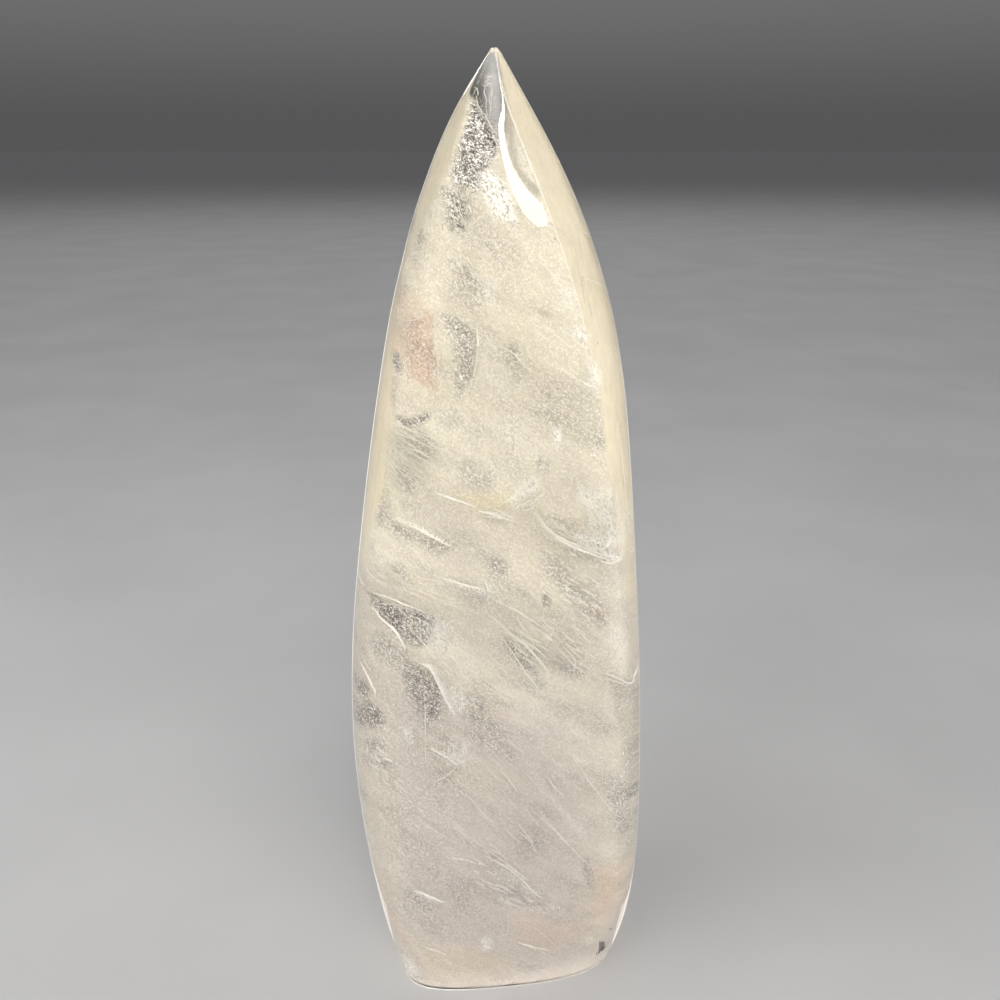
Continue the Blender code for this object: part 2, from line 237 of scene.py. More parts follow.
# Bright clouds where the milk is thickest, told the same way.
CLOUDS = (
    ("window fog", ((-4.6, 335.0), (-1.9, 335.6), (-0.4, 333.9), (-1.5, 332.8), (-3.8, 332.9)), 0.45, 0.5),
    ("window curtain", ((-3.6, 332.9), (-0.7, 333.1), (-0.4, 327.9), (-0.5, 323.5), (-1.9, 322.7),
     (-2.8, 324.9), (-3.0, 329.4)), 0.35, 0.6),
    ("frost", ((-4.9, 308.7), (-1.8, 308.0), (3.2, 304.2), (5.7, 297.5), (6.1, 290.8), (1.6, 293.4),
     (-3.0, 296.8), (-4.8, 301.3)), 0.6, 0.8),
    ("tip glow", ((6.5, 317.1), (9.0, 313.7), (13.4, 301.7), (10.0, 304.9), (7.0, 308.7)), 0.35, 1.0),
    ("shoulder tuft", ((22.5, 260.9), (25.7, 260.6), (28.7, 257.4), (28.5, 254.8), (24.7, 257.0)), 0.8, 0.7),
    ("shoulder crinkles", ((28.1, 250.5), (31.6, 247.6), (32.3, 242.1), (26.5, 243.0), (28.7, 245.5)), 0.6,
     0.9),
    ("shoulder haze", ((19.0, 274.0), (23.8, 272.5), (24.4, 267.2), (20.8, 267.0)), 0.5, 1.5),
    ("milk column", ((3.2, 233.7), (7.8, 231.4), (6.7, 221.7), (5.0, 222.9), (2.1, 229.2)), 0.5, 1.6),
    ("middle bank", ((-18.0, 236.0), (8.0, 236.0), (20.0, 222.0), (8.0, 214.0), (-14.0, 212.0),
     (-24.0, 222.0)), 0.2, 3.0),
    ("lower middle bank", ((-2.0, 166.0), (10.0, 160.0), (24.0, 138.0), (12.0, 134.0), (0.0, 146.0)), 0.2,
     3.0),
    ("milk bank", ((-6.7, 258.0), (3.2, 257.0), (7.7, 240.5), (-3.4, 240.4), (-6.2, 248.2)), 0.22, 2.5),
    ("ring sparkle", ((-4.2, 275.3), (-1.2, 275.4), (0.2, 268.4), (-1.5, 267.6), (-3.7, 272.1)), 0.7, 0.8),
    ("veil knot", ((24.9, 211.2), (32.3, 208.7), (37.5, 206.4), (40.4, 196.5), (40.9, 187.1), (35.7, 187.7),
     (31.1, 195.6), (26.8, 203.9)), 0.6, 1.6),
    ("veil knot foot", ((24.5, 193.1), (30.6, 190.6), (38.9, 185.2), (40.8, 185.1), (41.0, 181.9),
     (35.5, 183.5), (28.2, 188.3)), 0.95, 0.9),
    ("veil crumble", ((25.8, 194.9), (33.0, 192.6), (36.0, 189.6), (33.4, 187.9), (27.4, 190.6)), 0.95, 0.7),
    ("column speck", ((17.8, 229.5), (20.4, 229.8), (21.2, 224.0), (18.6, 222.5)), 0.7, 0.7),
    ("veil column", ((3.3, 206.5), (7.8, 211.2), (12.9, 213.5), (13.5, 209.9), (7.9, 206.5), (5.0, 204.1)),
     0.8, 1.0),
    ("left bank of milk", ((-34.3, 221.6), (-30.3, 222.1), (-24.4, 217.5), (-26.2, 214.3), (-32.1, 217.0)),
     0.4, 1.5),
    ("star", ((-5.5, 178.2), (-1.8, 178.6), (-0.0, 174.3), (-1.9, 173.0), (-5.5, 174.5)), 0.75, 0.7),
    ("right sweep glow", ((-18.8, 180.1), (-5.5, 176.2), (2.4, 171.7), (-5.5, 173.5), (-16.4, 177.6)), 0.45,
     1.0),
    ("window dots", ((-25.1, 163.4), (-16.6, 163.6), (-14.2, 159.7), (-19.3, 152.4), (-20.0, 148.2),
     (-24.0, 154.6)), 0.5, 1.2),
    ("cliff milk", ((-21.9, 145.8), (-18.2, 141.2), (-12.0, 137.4), (-9.6, 133.1), (-14.0, 127.7),
     (-18.3, 134.7)), 0.75, 0.8),
    ("cliff bank", ((-19.2, 156.6), (-10.6, 155.8), (-1.9, 146.3), (-5.7, 137.6), (-14.4, 141.5),
     (-19.3, 148.9)), 0.22, 2.5),
    ("fringe", ((-19.4, 115.9), (-14.9, 113.3), (-9.7, 117.5), (-8.5, 112.1), (-14.9, 109.4)), 0.6, 1.0),
    ("fringe low", ((-20.1, 110.0), (-14.9, 109.0), (-8.5, 112.5), (-9.9, 108.6), (-15.0, 105.8)), 0.6, 0.8),
    ("white dots", ((-32.4, 119.8), (-30.8, 120.3), (-29.0, 114.5), (-30.3, 113.9)), 0.85, 0.5),
    ("right milk", ((37.9, 162.5), (42.3, 161.0), (43.6, 151.0), (44.3, 137.4), (40.5, 140.2),
     (37.5, 153.7)), 0.28, 2.0),
    ("diagonal bank", ((-0.7, 143.5), (13.2, 136.2), (37.6, 115.9), (32.7, 115.3), (6.9, 131.9)), 0.2, 2.2),
    ("diagonal bank low", ((10.2, 109.5), (16.1, 99.8), (25.7, 86.0), (34.1, 72.9), (30.0, 75.3),
     (18.9, 93.2)), 0.45, 1.2),
    ("foot blaze", ((-0.2, 65.8), (7.2, 57.5), (17.0, 46.7), (12.8, 48.0), (3.1, 57.7)), 0.45, 1.0),
    ("foot arc", ((-31.1, 46.5), (-25.0, 47.1), (-19.0, 43.3), (-22.5, 43.9), (-28.5, 44.5)), 0.6, 0.9),
    ("foot milk left", ((-43.0, 56.6), (-33.4, 61.1), (-31.7, 50.9), (-39.9, 50.1)), 0.22, 2.5),
    ("foot spark", ((-6.5, 25.5), (-3.6, 27.4), (-1.9, 20.4), (-5.5, 19.5)), 0.7, 0.7),
    ("glass corner", ((-34.7, 10.3), (-32.8, 11.3), (-29.8, 6.1), (-29.7, 1.7), (-32.0, 2.3)), 0.7, 0.7),
    ("milk slope", ((-26.1, 78.4), (-18.3, 74.4), (-6.4, 55.8), (-10.6, 55.8), (-21.1, 67.3)), 0.2, 2.2),
)

# Mineral stains, told the same way, and whether each is rust or straw.
STAINS = (
    ("rust panel", RUST_PANEL, 0.64, 0.6, "rust"),
    ("rust crest", ((-29.9, 267.8), (-23.3, 271.0), (-21.0, 268.8), (-20.8, 265.8), (-26.4, 262.3),
     (-30.2, 261.7)), 0.35, 1.5, "rust"),
    ("rust flank", ((-30.9, 257.2), (-26.9, 259.0), (-27.0, 250.8), (-30.7, 250.0)), 0.5, 1.5, "rust"),
    ("rust edge", ((-32.7, 252.1), (-30.7, 253.7), (-32.0, 231.6), (-35.8, 228.9)), 0.25, 1.6, "rust"),
    ("straw glow", ((-11.5, 207.4), (-4.7, 208.8), (5.6, 207.1), (1.0, 204.1), (-7.0, 204.0)), 0.42, 1.4,
     "straw"),
    ("straw flank", ((-34.8, 224.6), (-35.0, 202.4), (-39.0, 199.0)), 0.5, 1.5, "straw"),
    ("rust foot", ((36.6, 57.9), (46.5, 55.6), (46.4, 34.7), (42.2, 16.3), (36.1, 32.2)), 0.42, 2.0, "rust"),
    ("rust foot middle", ((5.9, 36.8), (24.9, 32.9), (35.7, 23.7), (21.7, 16.7), (7.4, 24.8)), 0.22, 2.4,
     "rust"),
    ("rust low left", ((-43.7, 53.0), (-40.6, 46.8), (-36.5, 26.2), (-32.2, 19.3), (-36.9, 18.9)), 0.35, 1.8,
     "rust"),
    ("straw foot", ((-32.2, 20.3), (-6.9, 19.5), (4.5, 11.6), (-7.1, 4.3), (-26.7, 6.3)), 0.22, 2.4,
     "straw"),
    ("rust speck", ((29.9, 168.5), (37.1, 166.8), (36.8, 161.4), (31.3, 163.0)), 0.25, 1.5, "rust"),
)

# Smooth facets and clear zones without texture, told the same way, and how much grey dusk is on each.
FACETS = (
    # Painted light: the milk behind the two side facets is painted smooth and lighter than the front's, for
    # the light that the slanted facets gather.
    ("right facet", ((-0.5, 342.5), (0.9, 336.6), (2.6, 329.4), (4.4, 323.8), (6.3, 318.9), (9.3, 311.8),
     (11.7, 306.2), (13.6, 301.3), (15.8, 296.0), (17.4, 289.7), (22.1, 277.8), (25.4, 267.0), (28.5, 255.9),
     (31.2, 244.5), (33.4, 233.2), (34.7, 221.6), (36.2, 209.7), (38.7, 190.4), (41.0, 179.3), (42.7, 161.9),
     (43.8, 144.0), (70.0, 144.0), (70.0, 345.0)), 0.92, 0.45, 0.0),
    ("left facet", ((-1.0, 342.5), (-2.9, 340.0), (-4.4, 335.7), (-5.7, 332.3), (-6.9, 328.9), (-7.8, 325.6),
     (-8.9, 321.9), (-10.6, 317.4), (-11.9, 312.9), (-14.0, 307.2), (-22.2, 290.0), (-28.2, 275.3),
     (-30.0, 264.4), (-31.7, 253.1), (-31.5, 245.3), (-32.3, 237.4), (-32.0, 229.2), (-33.3, 222.7),
     (-34.4, 219.3), (-35.1, 207.6), (-37.1, 201.2), (-40.9, 181.6), (-42.7, 175.4), (-43.4, 169.5),
     (-70.0, 165.0), (-70.0, 345.0)), 0.85, 0.55, 0.0),
    ("clear foot corner", ((45.7, 28.1), (60.0, 20.0), (60.0, -5.0), (7.4, -3.0), (7.4, 3.5), (18.3, 5.4),
     (29.0, 9.3), (35.3, 12.3), (38.7, 18.8), (41.9, 31.4), (44.1, 35.9)), 0.75, 1.2, 0.08),
    # Painted shade: the grey band beside the bent strip lamp's highlight.
    ("grey band", ((2.4, 327.9), (2.9, 324.9), (3.1, 319.8), (3.3, 316.1), (4.7, 310.5), (7.0, 305.7),
     (9.8, 301.9), (12.7, 299.4), (13.2, 301.7), (10.8, 304.5), (8.4, 306.7), (6.6, 309.8), (6.0, 313.9),
     (5.3, 318.2), (4.5, 322.7), (3.6, 326.4)), 0.9, 0.45, 0.55),
)

# Hollows that are full of short strokes instead of specks.
STROKED = (
    "right strokes", "slit shade", "right strokes foot", "right haze", "top strokes", "left smear",
    "rim haze foot", "right lines", "fringe shade", "foot hollow",
)
# Where the hollows are crushed to bits: name of the hollow and how strongly.
CRUSHED = {
    "tip crush": 1.0, "tip crumbs": 0.8, "pillar": 0.3, "pillar heart": 0.3, "flank fleck": 0.7,
    "edge spot": 0.6, "right edge low": 0.3, "ragged line": 0.4,
}
# Where the clouds are frost, white with fine dark hairs through it: name of the cloud and how strongly.
FROSTED = {
    "frost": 0.75, "shoulder tuft": 0.5, "shoulder crinkles": 0.5, "ring sparkle": 0.5, "veil knot": 0.4,
    "veil knot foot": 0.75, "veil crumble": 0.9, "veil column": 0.5, "column speck": 0.6, "window dots": 0.4,
    "cliff milk": 0.35, "fringe": 0.35, "star": 0.4,
}

# Healed fractures and veils laid under the front: name, places across and up (mm), width (mm), which way it
# dissolves (1 below, -1 above, 0 both) and how dense it is.
VEILS = (
    ("pillar edge", ((-6.2, 262.0), (-5.6, 256.3), (-6.3, 251.1), (-8.1, 244.0)), 0.4, 0, 0.9),
    ("stain corner", ((-20.4, 266.4), (-19.6, 258.9), (-18.8, 251.3), (-18.2, 243.6)), 0.25, 0, 0.6),
    ("stain cross", ((-33.1, 262.2), (-26.0, 263.7), (-19.8, 267.1)), 0.25, 0, 0.7),
    ("seam a", ((0.9, 257.3), (5.3, 254.2), (9.6, 250.0), (15.3, 246.5)), 0.25, 0, 0.9),
    ("seam b", ((0.9, 257.3), (7.4, 257.6), (15.2, 255.3), (18.7, 254.0)), 0.17, 0, 0.5),
    ("seam c", ((14.3, 247.1), (20.0, 246.0), (26.3, 245.1)), 0.2, 0, 0.6),
    ("upper vein", ((2.8, 265.4), (7.4, 262.4), (14.6, 257.2)), 0.2, 0, 0.5),
    ("fan left a", ((-32.1, 227.8), (-32.8, 222.9), (-27.5, 219.6), (-18.0, 216.7)), 0.25, 0, 0.5),
    ("fan left b", ((-33.3, 224.2), (-29.2, 218.0), (-25.1, 214.4)), 0.2, 0, 0.4),
    ("fan left c", ((-37.5, 228.7), (-30.8, 225.5), (-22.7, 223.1)), 0.25, 0, 0.35),
    ("milk seam", ((5.3, 239.5), (5.9, 230.1), (5.3, 223.1)), 0.6, 0, 0.5),
    ("milk seam foot", ((4.7, 222.1), (1.2, 216.7), (-3.2, 214.0)), 0.45, 0, 0.45),
    ("sunny line", ((-19.4, 209.4), (-13.2, 207.5), (-6.5, 205.7)), 0.45, 0, 0.95),
    ("sunny line b", ((-5.9, 204.1), (-0.4, 202.9), (5.1, 200.9)), 0.6, 0, 1.0),
    ("brow", ((2.8, 206.9), (5.7, 208.8), (7.9, 210.1)), 0.4, 0, 0.8),
    ("long veil", ((9.9, 207.5), (15.1, 200.7), (21.3, 194.7), (30.6, 190.7), (38.0, 186.7)), 2.1, 1, 0.9),
    ("long veil low", ((20.0, 194.5), (25.5, 191.3), (31.0, 189.0), (37.0, 185.9)), 0.6, 0, 0.95),
    ("long veil rim", ((15.7, 198.3), (24.0, 193.3), (33.9, 188.7), (42.0, 185.8)), 0.35, 0, 1.0),
    ("swirl a", ((26.2, 213.4), (28.6, 208.4), (32.9, 203.7), (36.0, 197.6)), 0.5, 0, 0.8),
    ("swirl b", ((34.5, 206.1), (37.6, 200.7), (38.4, 193.8), (35.2, 189.9), (30.6, 191.4)), 0.7, 0, 0.9),
    ("swirl c", ((37.3, 211.7), (39.4, 203.7), (40.3, 195.1), (41.2, 187.4)), 0.4, 0, 0.8),
    ("swirl d", ((33.0, 187.4), (37.4, 184.7), (41.3, 185.4), (43.3, 188.1)), 0.35, 0, 0.9),
    ("fleck fan a", ((22.3, 216.9), (26.9, 212.8), (30.8, 209.9)), 0.4, 0, 0.5),
    ("shoulder crinkle", ((27.1, 253.0), (29.4, 249.5), (31.6, 244.6)), 0.35, 0, 0.9),
    ("shoulder crinkle b", ((26.3, 246.0), (30.1, 243.6), (33.6, 242.5)), 0.4, 0, 0.9),
    ("shoulder crinkle c", ((28.7, 255.6), (31.5, 251.3), (33.2, 246.8)), 0.25, 0, 0.7),
    ("notch edge", ((-34.4, 198.9), (-28.1, 197.5), (-21.5, 194.5), (-15.0, 191.6)), 1.6, -1, 0.8),
    ("left sweep a", ((-45.6, 170.8), (-39.0, 171.1), (-31.5, 169.8), (-24.7, 167.9)), 0.35, 0, 0.95),
    ("left sweep b", ((-45.1, 175.0), (-35.4, 175.6), (-25.3, 173.2), (-18.7, 170.7)), 0.25, 0, 0.6),
    ("left sweep c", ((-36.4, 176.1), (-26.9, 175.5), (-18.6, 172.5), (-11.4, 170.5)), 0.4, 0, 0.55),
    ("right sweep", ((-19.8, 181.2), (-11.9, 178.9), (-4.7, 177.4), (0.6, 176.1)), 0.4, 0, 0.8),
    ("star", ((-3.7, 180.2), (-2.7, 176.7), (-3.1, 173.2)), 0.45, 0, 1.0),
    ("blade", ((-43.2, 165.6), (-40.0, 162.6), (-35.9, 160.1), (-32.6, 156.1), (-31.3, 153.3)), 0.55, 0,
     1.0),
    ("lower blade", ((-27.3, 158.8), (-23.4, 154.6), (-21.1, 150.6)), 0.3, 0, 0.7),
    ("cliff", ((-25.9, 148.6), (-22.5, 146.3), (-20.2, 141.1), (-17.6, 135.1), (-14.6, 129.4)), 2.08, -1,
     0.95),
    ("cliff rim", ((-26.9, 148.8), (-23.2, 147.8), (-20.5, 144.6), (-19.2, 138.9), (-16.6, 133.2),
     (-14.9, 129.0)), 0.3, 0, 1.0),
    ("rim blade", ((-49.2, 142.1), (-46.5, 138.7), (-43.2, 133.0)), 0.4, 0, 0.9),
    ("hair", ((-25.2, 133.2), (-25.1, 124.4), (-25.3, 116.2), (-25.5, 108.7)), 0.15, 0, 0.9),
    ("fringe", ((-24.0, 115.2), (-19.1, 112.7), (-13.8, 109.4), (-9.3, 112.2), (-7.1, 116.4)), 1.28, -1,
     0.8),
    ("fringe tail", ((-23.6, 100.4), (-18.2, 103.9), (-13.5, 109.0)), 0.25, 0, 0.7),
    ("diag a", ((0.2, 173.3), (7.8, 168.9), (16.2, 162.9), (21.3, 158.3)), 0.3, 0, 0.7),
    ("diag b", ((-3.7, 169.6), (2.9, 163.2), (8.6, 155.0), (13.0, 148.1)), 0.4, 0, 0.6),
    ("diag c", ((2.2, 163.2), (7.9, 158.7), (14.7, 151.1), (18.8, 144.8)), 0.6, 0, 0.75),
    ("diag d", ((1.2, 160.6), (6.2, 153.1), (10.7, 145.5), (16.6, 137.6)), 0.25, 0, 0.8),
    ("diag e", ((-8.8, 158.5), (-2.1, 153.1), (4.6, 145.6), (9.4, 139.8)), 0.3, 0, 0.4),
    ("diag f", ((21.0, 172.8), (27.8, 165.9), (34.8, 159.4)), 0.3, 0, 0.5),
    ("diag g", ((17.3, 158.4), (24.8, 152.1), (31.7, 146.9)), 0.25, 0, 0.6),
    ("diag h", ((11.1, 176.7), (15.1, 172.4), (16.2, 165.1)), 0.3, 0, 0.7),
    ("diag i", ((30.4, 134.7), (35.8, 128.1), (43.3, 116.5)), 0.2, 0, 0.4),
    ("ledge", ((38.0, 144.2), (42.3, 141.9), (46.5, 138.8), (48.4, 139.0), (50.4, 143.5)), 0.35, 0, 0.95),
    ("ledge b", ((38.8, 142.2), (43.0, 139.8), (46.9, 137.4)), 0.2, 0, 0.7),
    ("hook", ((41.1, 145.5), (40.6, 150.6), (42.2, 154.0), (46.6, 154.2)), 0.2, 0, 0.6),
    ("long diag a", ((25.0, 115.0), (29.4, 108.3), (33.9, 100.0), (38.9, 91.7), (44.1, 83.6)), 0.2, 0, 0.85),
    ("long diag b", ((1.2, 108.3), (4.0, 104.0), (7.9, 97.9)), 0.25, 0, 0.9),
    ("long diag c", ((14.4, 90.7), (20.0, 82.1), (25.3, 74.2), (31.8, 65.6), (36.9, 58.8)), 0.4, 0, 0.6),
    ("long diag d", ((9.3, 107.3), (15.4, 99.4), (20.9, 92.9)), 0.45, 0, 0.5),
    ("long diag e", ((-7.4, 121.7), (1.2, 111.7), (8.3, 101.8)), 0.3, 0, 0.35),
    ("long diag f", ((15.4, 98.6), (23.5, 88.2), (30.3, 79.3)), 0.3, 0, 0.5),
    ("foot rake a", ((-0.6, 66.9), (4.1, 62.9), (8.6, 57.9), (16.6, 47.2)), 0.4, 0, 0.95),
    ("foot rake b", ((0.4, 68.4), (6.7, 61.9), (11.6, 56.8)), 0.25, 0, 0.8),
    ("foot rake c", ((-16.4, 67.7), (-10.6, 66.2), (-4.7, 64.4)), 0.25, 0, 0.7),
    ("foot rake d", ((-3.2, 75.3), (0.5, 71.7), (4.1, 65.8)), 0.3, 0, 0.6),
    ("foot arc", ((-31.4, 49.6), (-25.8, 47.8), (-20.2, 45.5)), 0.6, 0, 0.8),
    ("foot sliver", ((4.2, 39.6), (4.6, 33.7), (3.8, 28.4)), 0.5, 0, 0.6),
    ("foot sliver b", ((0.0, 44.5), (1.5, 37.7), (3.0, 31.2)), 0.25, 0, 0.5),
    ("foot dashes", ((8.5, 23.6), (14.3, 20.7), (21.0, 17.4)), 0.3, 0, 0.7),
    ("foot dashes b", ((-28.1, 21.2), (-23.5, 19.9), (-19.7, 18.1)), 0.3, 0, 0.7),
    ("foot cross", ((20.6, 68.4), (21.1, 63.9), (20.4, 60.1)), 0.35, 0, 0.5),
    ("left scratch", ((-41.1, 107.2), (-37.8, 106.7)), 0.25, 0, 0.8),
    ("low scar", ((-18.9, 104.3), (-15.8, 100.3), (-14.4, 96.1)), 0.25, 0, 0.5),
    ("right scar", ((37.0, 96.5), (41.1, 90.7), (44.3, 87.2)), 0.2, 0, 0.6),
    ("right edge a", ((26.5, 288.0), (30.0, 270.0), (33.2, 256.0)), 0.3, 0, 0.8),
    ("right edge b", ((33.8, 279.0), (37.0, 266.0), (39.4, 252.0)), 0.3, 0, 0.8),
    ("right edge c", ((42.5, 214.0), (43.8, 202.0), (44.6, 190.0)), 0.25, 0, 0.4),
    ("left edge a", ((-40.5, 236.0), (-36.0, 226.5), (-30.0, 222.5)), 0.2, 0, 0.4),
    ("left fan", ((-44.0, 205.0), (-38.0, 213.0), (-34.5, 222.0)), 0.2, 0, 0.35),
    ("flank line", ((-30.5, 224.0), (-31.5, 214.0), (-33.0, 205.0)), 0.2, 0, 0.45),
    # Painted highlight: a bright line along the ridge below the tip, where the ridge catches the light.
    ("tip ridge", ((0.2, 342.9), (0.9, 340.0), (1.7, 335.0), (3.4, 328.0), (6.9, 319.5), (10.6, 310.0),
     (13.9, 302.5)), 0.15, 0, 0.95),
    ("tip hair", ((-4.7, 333.5), (-3.6, 332.9), (-2.6, 333.4), (-1.8, 333.9), (-1.4, 333.2)), 0.18, 0, 0.85),
    ("tip wisp a", ((-3.4, 332.7), (-3.7, 330.9), (-3.1, 329.0), (-3.2, 326.8), (-2.6, 324.6)), 0.17, 0,
     0.8),
    ("tip wisp b", ((-1.9, 332.9), (-1.3, 331.0), (-2.2, 329.0), (-1.6, 326.8), (-2.1, 323.8)), 0.17, 0,
     0.75),
    ("tip wisp c", ((-1.0, 332.7), (-1.2, 329.4), (-1.5, 325.7)), 0.15, 0, 0.6),
    ("tip shore", ((-6.5, 329.8), (-5.9, 328.6), (-5.6, 327.0), (-4.8, 326.3), (-4.5, 325.0), (-3.3, 324.6),
     (-2.7, 323.0), (-1.9, 321.9), (-1.3, 320.7), (-0.5, 319.8), (0.5, 318.7), (1.2, 317.9)), 0.28, 0, 1.0),
    ("tip shore b", ((-7.0, 332.7), (-6.0, 332.0), (-5.8, 330.3)), 0.17, 0, 0.8),
)

# Sheaves of fine strokes under the front: name, middle and half size across and up (mm), slope (degrees),
# count, length (mm) and density.
SHEAVES = (
    ("right strokes", (17.0, 157.0), (16.0, 10.0), -40, 34, 9.0, 0.85),
    ("right haze", (27.0, 172.0), (10.0, 10.0), -42, 22, 6.0, 0.8),
    ("left sweep", (-28.0, 172.0), (14.0, 5.0), -14, 12, 14.0, 0.6),
    ("left fan", (-30.0, 217.0), (7.0, 8.0), -33, 18, 9.0, 0.7),
    ("left fan high", (-27.0, 225.0), (9.0, 5.0), -22, 16, 14.0, 0.85),
    ("left sweep high", (-38.0, 178.0), (7.0, 3.0), -20, 10, 12.0, 0.8),
    ("sunny strokes", (0.0, 202.8), (5.0, 1.2), -14, 12, 5.0, 1.0),
    ("veil crumble", (30.0, 190.5), (8.0, 2.5), -28, 22, 4.0, 1.0),
    ("swirl", (38.0, 200.0), (2.5, 12.0), -78, 16, 6.0, 0.95),
    ("lower middle", (8.0, 96.0), (20.0, 22.0), -50, 26, 13.0, 0.6),
    ("foot rake", (2.0, 60.0), (12.0, 10.0), -42, 20, 8.0, 0.75),
    ("veil knot", (34.0, 199.0), (5.0, 10.0), -62, 18, 6.0, 0.95),
    ("brow", (8.0, 209.0), (7.0, 5.0), 35, 20, 4.5, 1.0),
    ("top strokes", (-8.5, 275.0), (5.0, 7.0), -55, 16, 4.0, 0.8),
    ("tip side", (-11.5, 296.0), (4.0, 8.0), -58, 18, 2.6, 0.8),
    ("rim haze", (-42.5, 105.0), (4.0, 5.0), -22, 10, 5.0, 0.7),
    ("cliff", (-15.0, 143.0), (5.0, 9.0), -50, 12, 6.0, 0.6),
    ("star", (-1.0, 176.0), (5.0, 3.5), -65, 12, 3.0, 0.9),
    ("upper middle", (6.0, 240.0), (18.0, 22.0), -38, 24, 5.0, 0.45),
    ("fringe", (-13.0, 112.0), (7.0, 5.0), -75, 14, 4.0, 0.8),
)

# Groups of tiny flakes under the front: name, kind, middle and half size across and up (mm), turn (degrees),
# count, flake size (mm).
FLAKE_BEDS = (
    ("tip crush", "mirror", (-6.2, 314.0), (5.0, 12.0), 24, 200, 0.5),
    ("tip side crush", "mirror", (-12.0, 297.0), (4.5, 8.0), 30, 160, 0.5),
    ("frost", "white", (1.2, 300.5), (4.6, 12.5), -28, 90, 0.3),
    ("frost glints", "mirror", (1.2, 300.0), (4.8, 13.0), -28, 70, 0.35),
    ("shore", "white", (-3.6, 324.5), (1.0, 7.0), -42, 60, 0.3),
    ("frost tail", "white", (-3.0, 288.0), (7.0, 8.0), 35, 160, 0.4),
    ("pillar crumbs", "mirror", (-10.5, 252.0), (4.5, 13.0), 0, 110, 0.45),
    ("flank crumbs", "mirror", (-30.0, 247.5), (2.6, 4.0), 0, 40, 0.4),
    ("ring sparkle", "white", (-2.8, 274.1), (2.0, 2.8), 0, 60, 0.4),
    ("shoulder tuft", "white", (25.6, 260.6), (4.0, 2.0), 15, 70, 0.45),
    ("veil knot", "white", (34.0, 194.0), (8.0, 10.0), 30, 300, 0.5),
    ("window dots", "white", (-19.5, 160.5), (8.0, 5.0), 40, 170, 0.45),
    ("cliff foot", "white", (-15.5, 135.0), (4.0, 7.0), -20, 120, 0.5),
    ("side dots", "white", (-31.6, 119.2), (2.0, 3.6), -15, 26, 0.55),
    ("fringe dots", "white", (-15.0, 111.8), (8.0, 2.6), 10, 90, 0.45),
    ("star knot", "white", (-3.4, 176.7), (3.0, 3.4), 0, 50, 0.45),
    ("foot spark", "white", (-4.3, 22.6), (2.6, 3.0), 0, 34, 0.6),
    ("foot dots", "white", (23.9, 41.2), (3.0, 0.9), 10, 16, 0.5),
    ("foot blaze", "white", (3.8, 58.0), (6.0, 3.0), 40, 90, 0.45),
    ("glass corner", "white", (-33.8, 9.0), (3.0, 7.0), -25, 90, 0.7),
    ("edge grit", "white", (45.5, 85.0), (3.0, 34.0), 0, 150, 0.5),
)

# Dark chips low on the right of the front: place across and up, depth, width, height (mm) and lean (degrees).
DARK_CHIPS = (
    (42.2, 12.3, 1.0, 3.2, 6.6, 6), (41.3, 14.0, 1.3, 1.0, 5.0, 8), (41.7, 9.8, 1.2, 1.7, 4.6, -16),
    (40.3, 8.6, 1.2, 0.5, 3.4, 6), (43.6, 9.6, 1.2, 0.6, 4.0, -38), (45.2, 21.6, 1.2, 0.5, 3.4, 58),
)
# Unit shares of a flake and of a dark chip, before they are sized.
FLAKE_SHAPE = (1.0, 0.62, 0.14)
CHIP_SHAPE = (0.5, 0.3, 0.5)
GLINT_COLOUR = (0.86, 0.84, 0.80)
FROST_COLOUR = (0.95, 0.94, 0.92)
CHIP_COLOUR = (0.2, 0.19, 0.185)

# Lamps: name, place, width and height (m), power (W), tint and whether they light the stone alone.
LAMPS = (
    ("key", (-0.80, -0.60, 0.85), (1.2, 1.2), 8.55, (1.0, 0.99, 0.965), False),
    ("fill", (0.95, -0.65, 0.50), (1.0, 1.0), 3.0, (1.0, 0.99, 0.98), True),
    ("low front", (0.0, -1.25, 0.20), (1.3, 0.36), 7.0, (1.0, 0.98, 0.96), True),
    ("left side", (-1.25, -0.05, 0.36), (0.9, 0.6), 8.8, (1.0, 0.985, 0.95), True),
    ("right side", (1.25, -0.05, 0.34), (0.9, 0.6), 6.0, (1.0, 0.985, 0.96), True),
    ("overhead", (0.0, 2.0, 3.6), (5.0, 5.0), 52.0, (1.0, 1.0, 1.0), False),
    ("rim left", (-1.0, 2.2, 0.7), (1.7, 1.8), 12.5, (1.0, 0.985, 0.95), True),
    ("rim right", (1.0, 2.2, 0.7), (1.7, 1.8), 13.3, (1.0, 0.985, 0.95), True),
)
LAMPS_AIM = (0.0, 0.0, 0.19)
# Paths of the bent strip lamps: azimuth, rise and width, in degrees seen from the stone's shoulder.
FRONT_STRIP = (
    (46, 31.2, 2.2), (34, 29.7, 3.4), (22, 28.6, 4.4), (14.3, 29.6, 5.4), (10.5, 34, 5.3), (10.9, 39, 4.8),
    (13.5, 44, 4.6), (22, 49, 4.4), (34, 53, 4.6), (50, 56.5, 4.6), (68, 58, 4.0),
)
BACK_STRIP = ((206, 17, 2.5), (205, 22, 4.0), (203, 28, 5.0), (200, 34, 5.0), (196, 40, 4.5), (188, 46, 3.0))
SHOULDER = (0.0, -0.018, 0.305)
STRIP_DISTANCE = 1.25
STRIP_STEPS = 60
STRIP_TINT = (1.0, 0.975, 0.93)
CARD_STEPS = 24
CARD_TINT, CARD_STRENGTH = (1.0, 0.97, 0.92), 1.25
# How high over the floor the rim card lies, and the middle and size of its wings, across and away (m).
CARD_LIFT = 0.0004
WING_MIDDLE, WING_SIZE = (0.059, 0.021), (0.026, 0.058)
# The camera: place (m), tilt up from straight down (degrees), lens and film width (mm).
CAMERA_PLACE = (0.0012, -0.347, 0.319)
CAMERA_TILT = 70.3
LENS, FILM_WIDTH = 36.9, 36.0


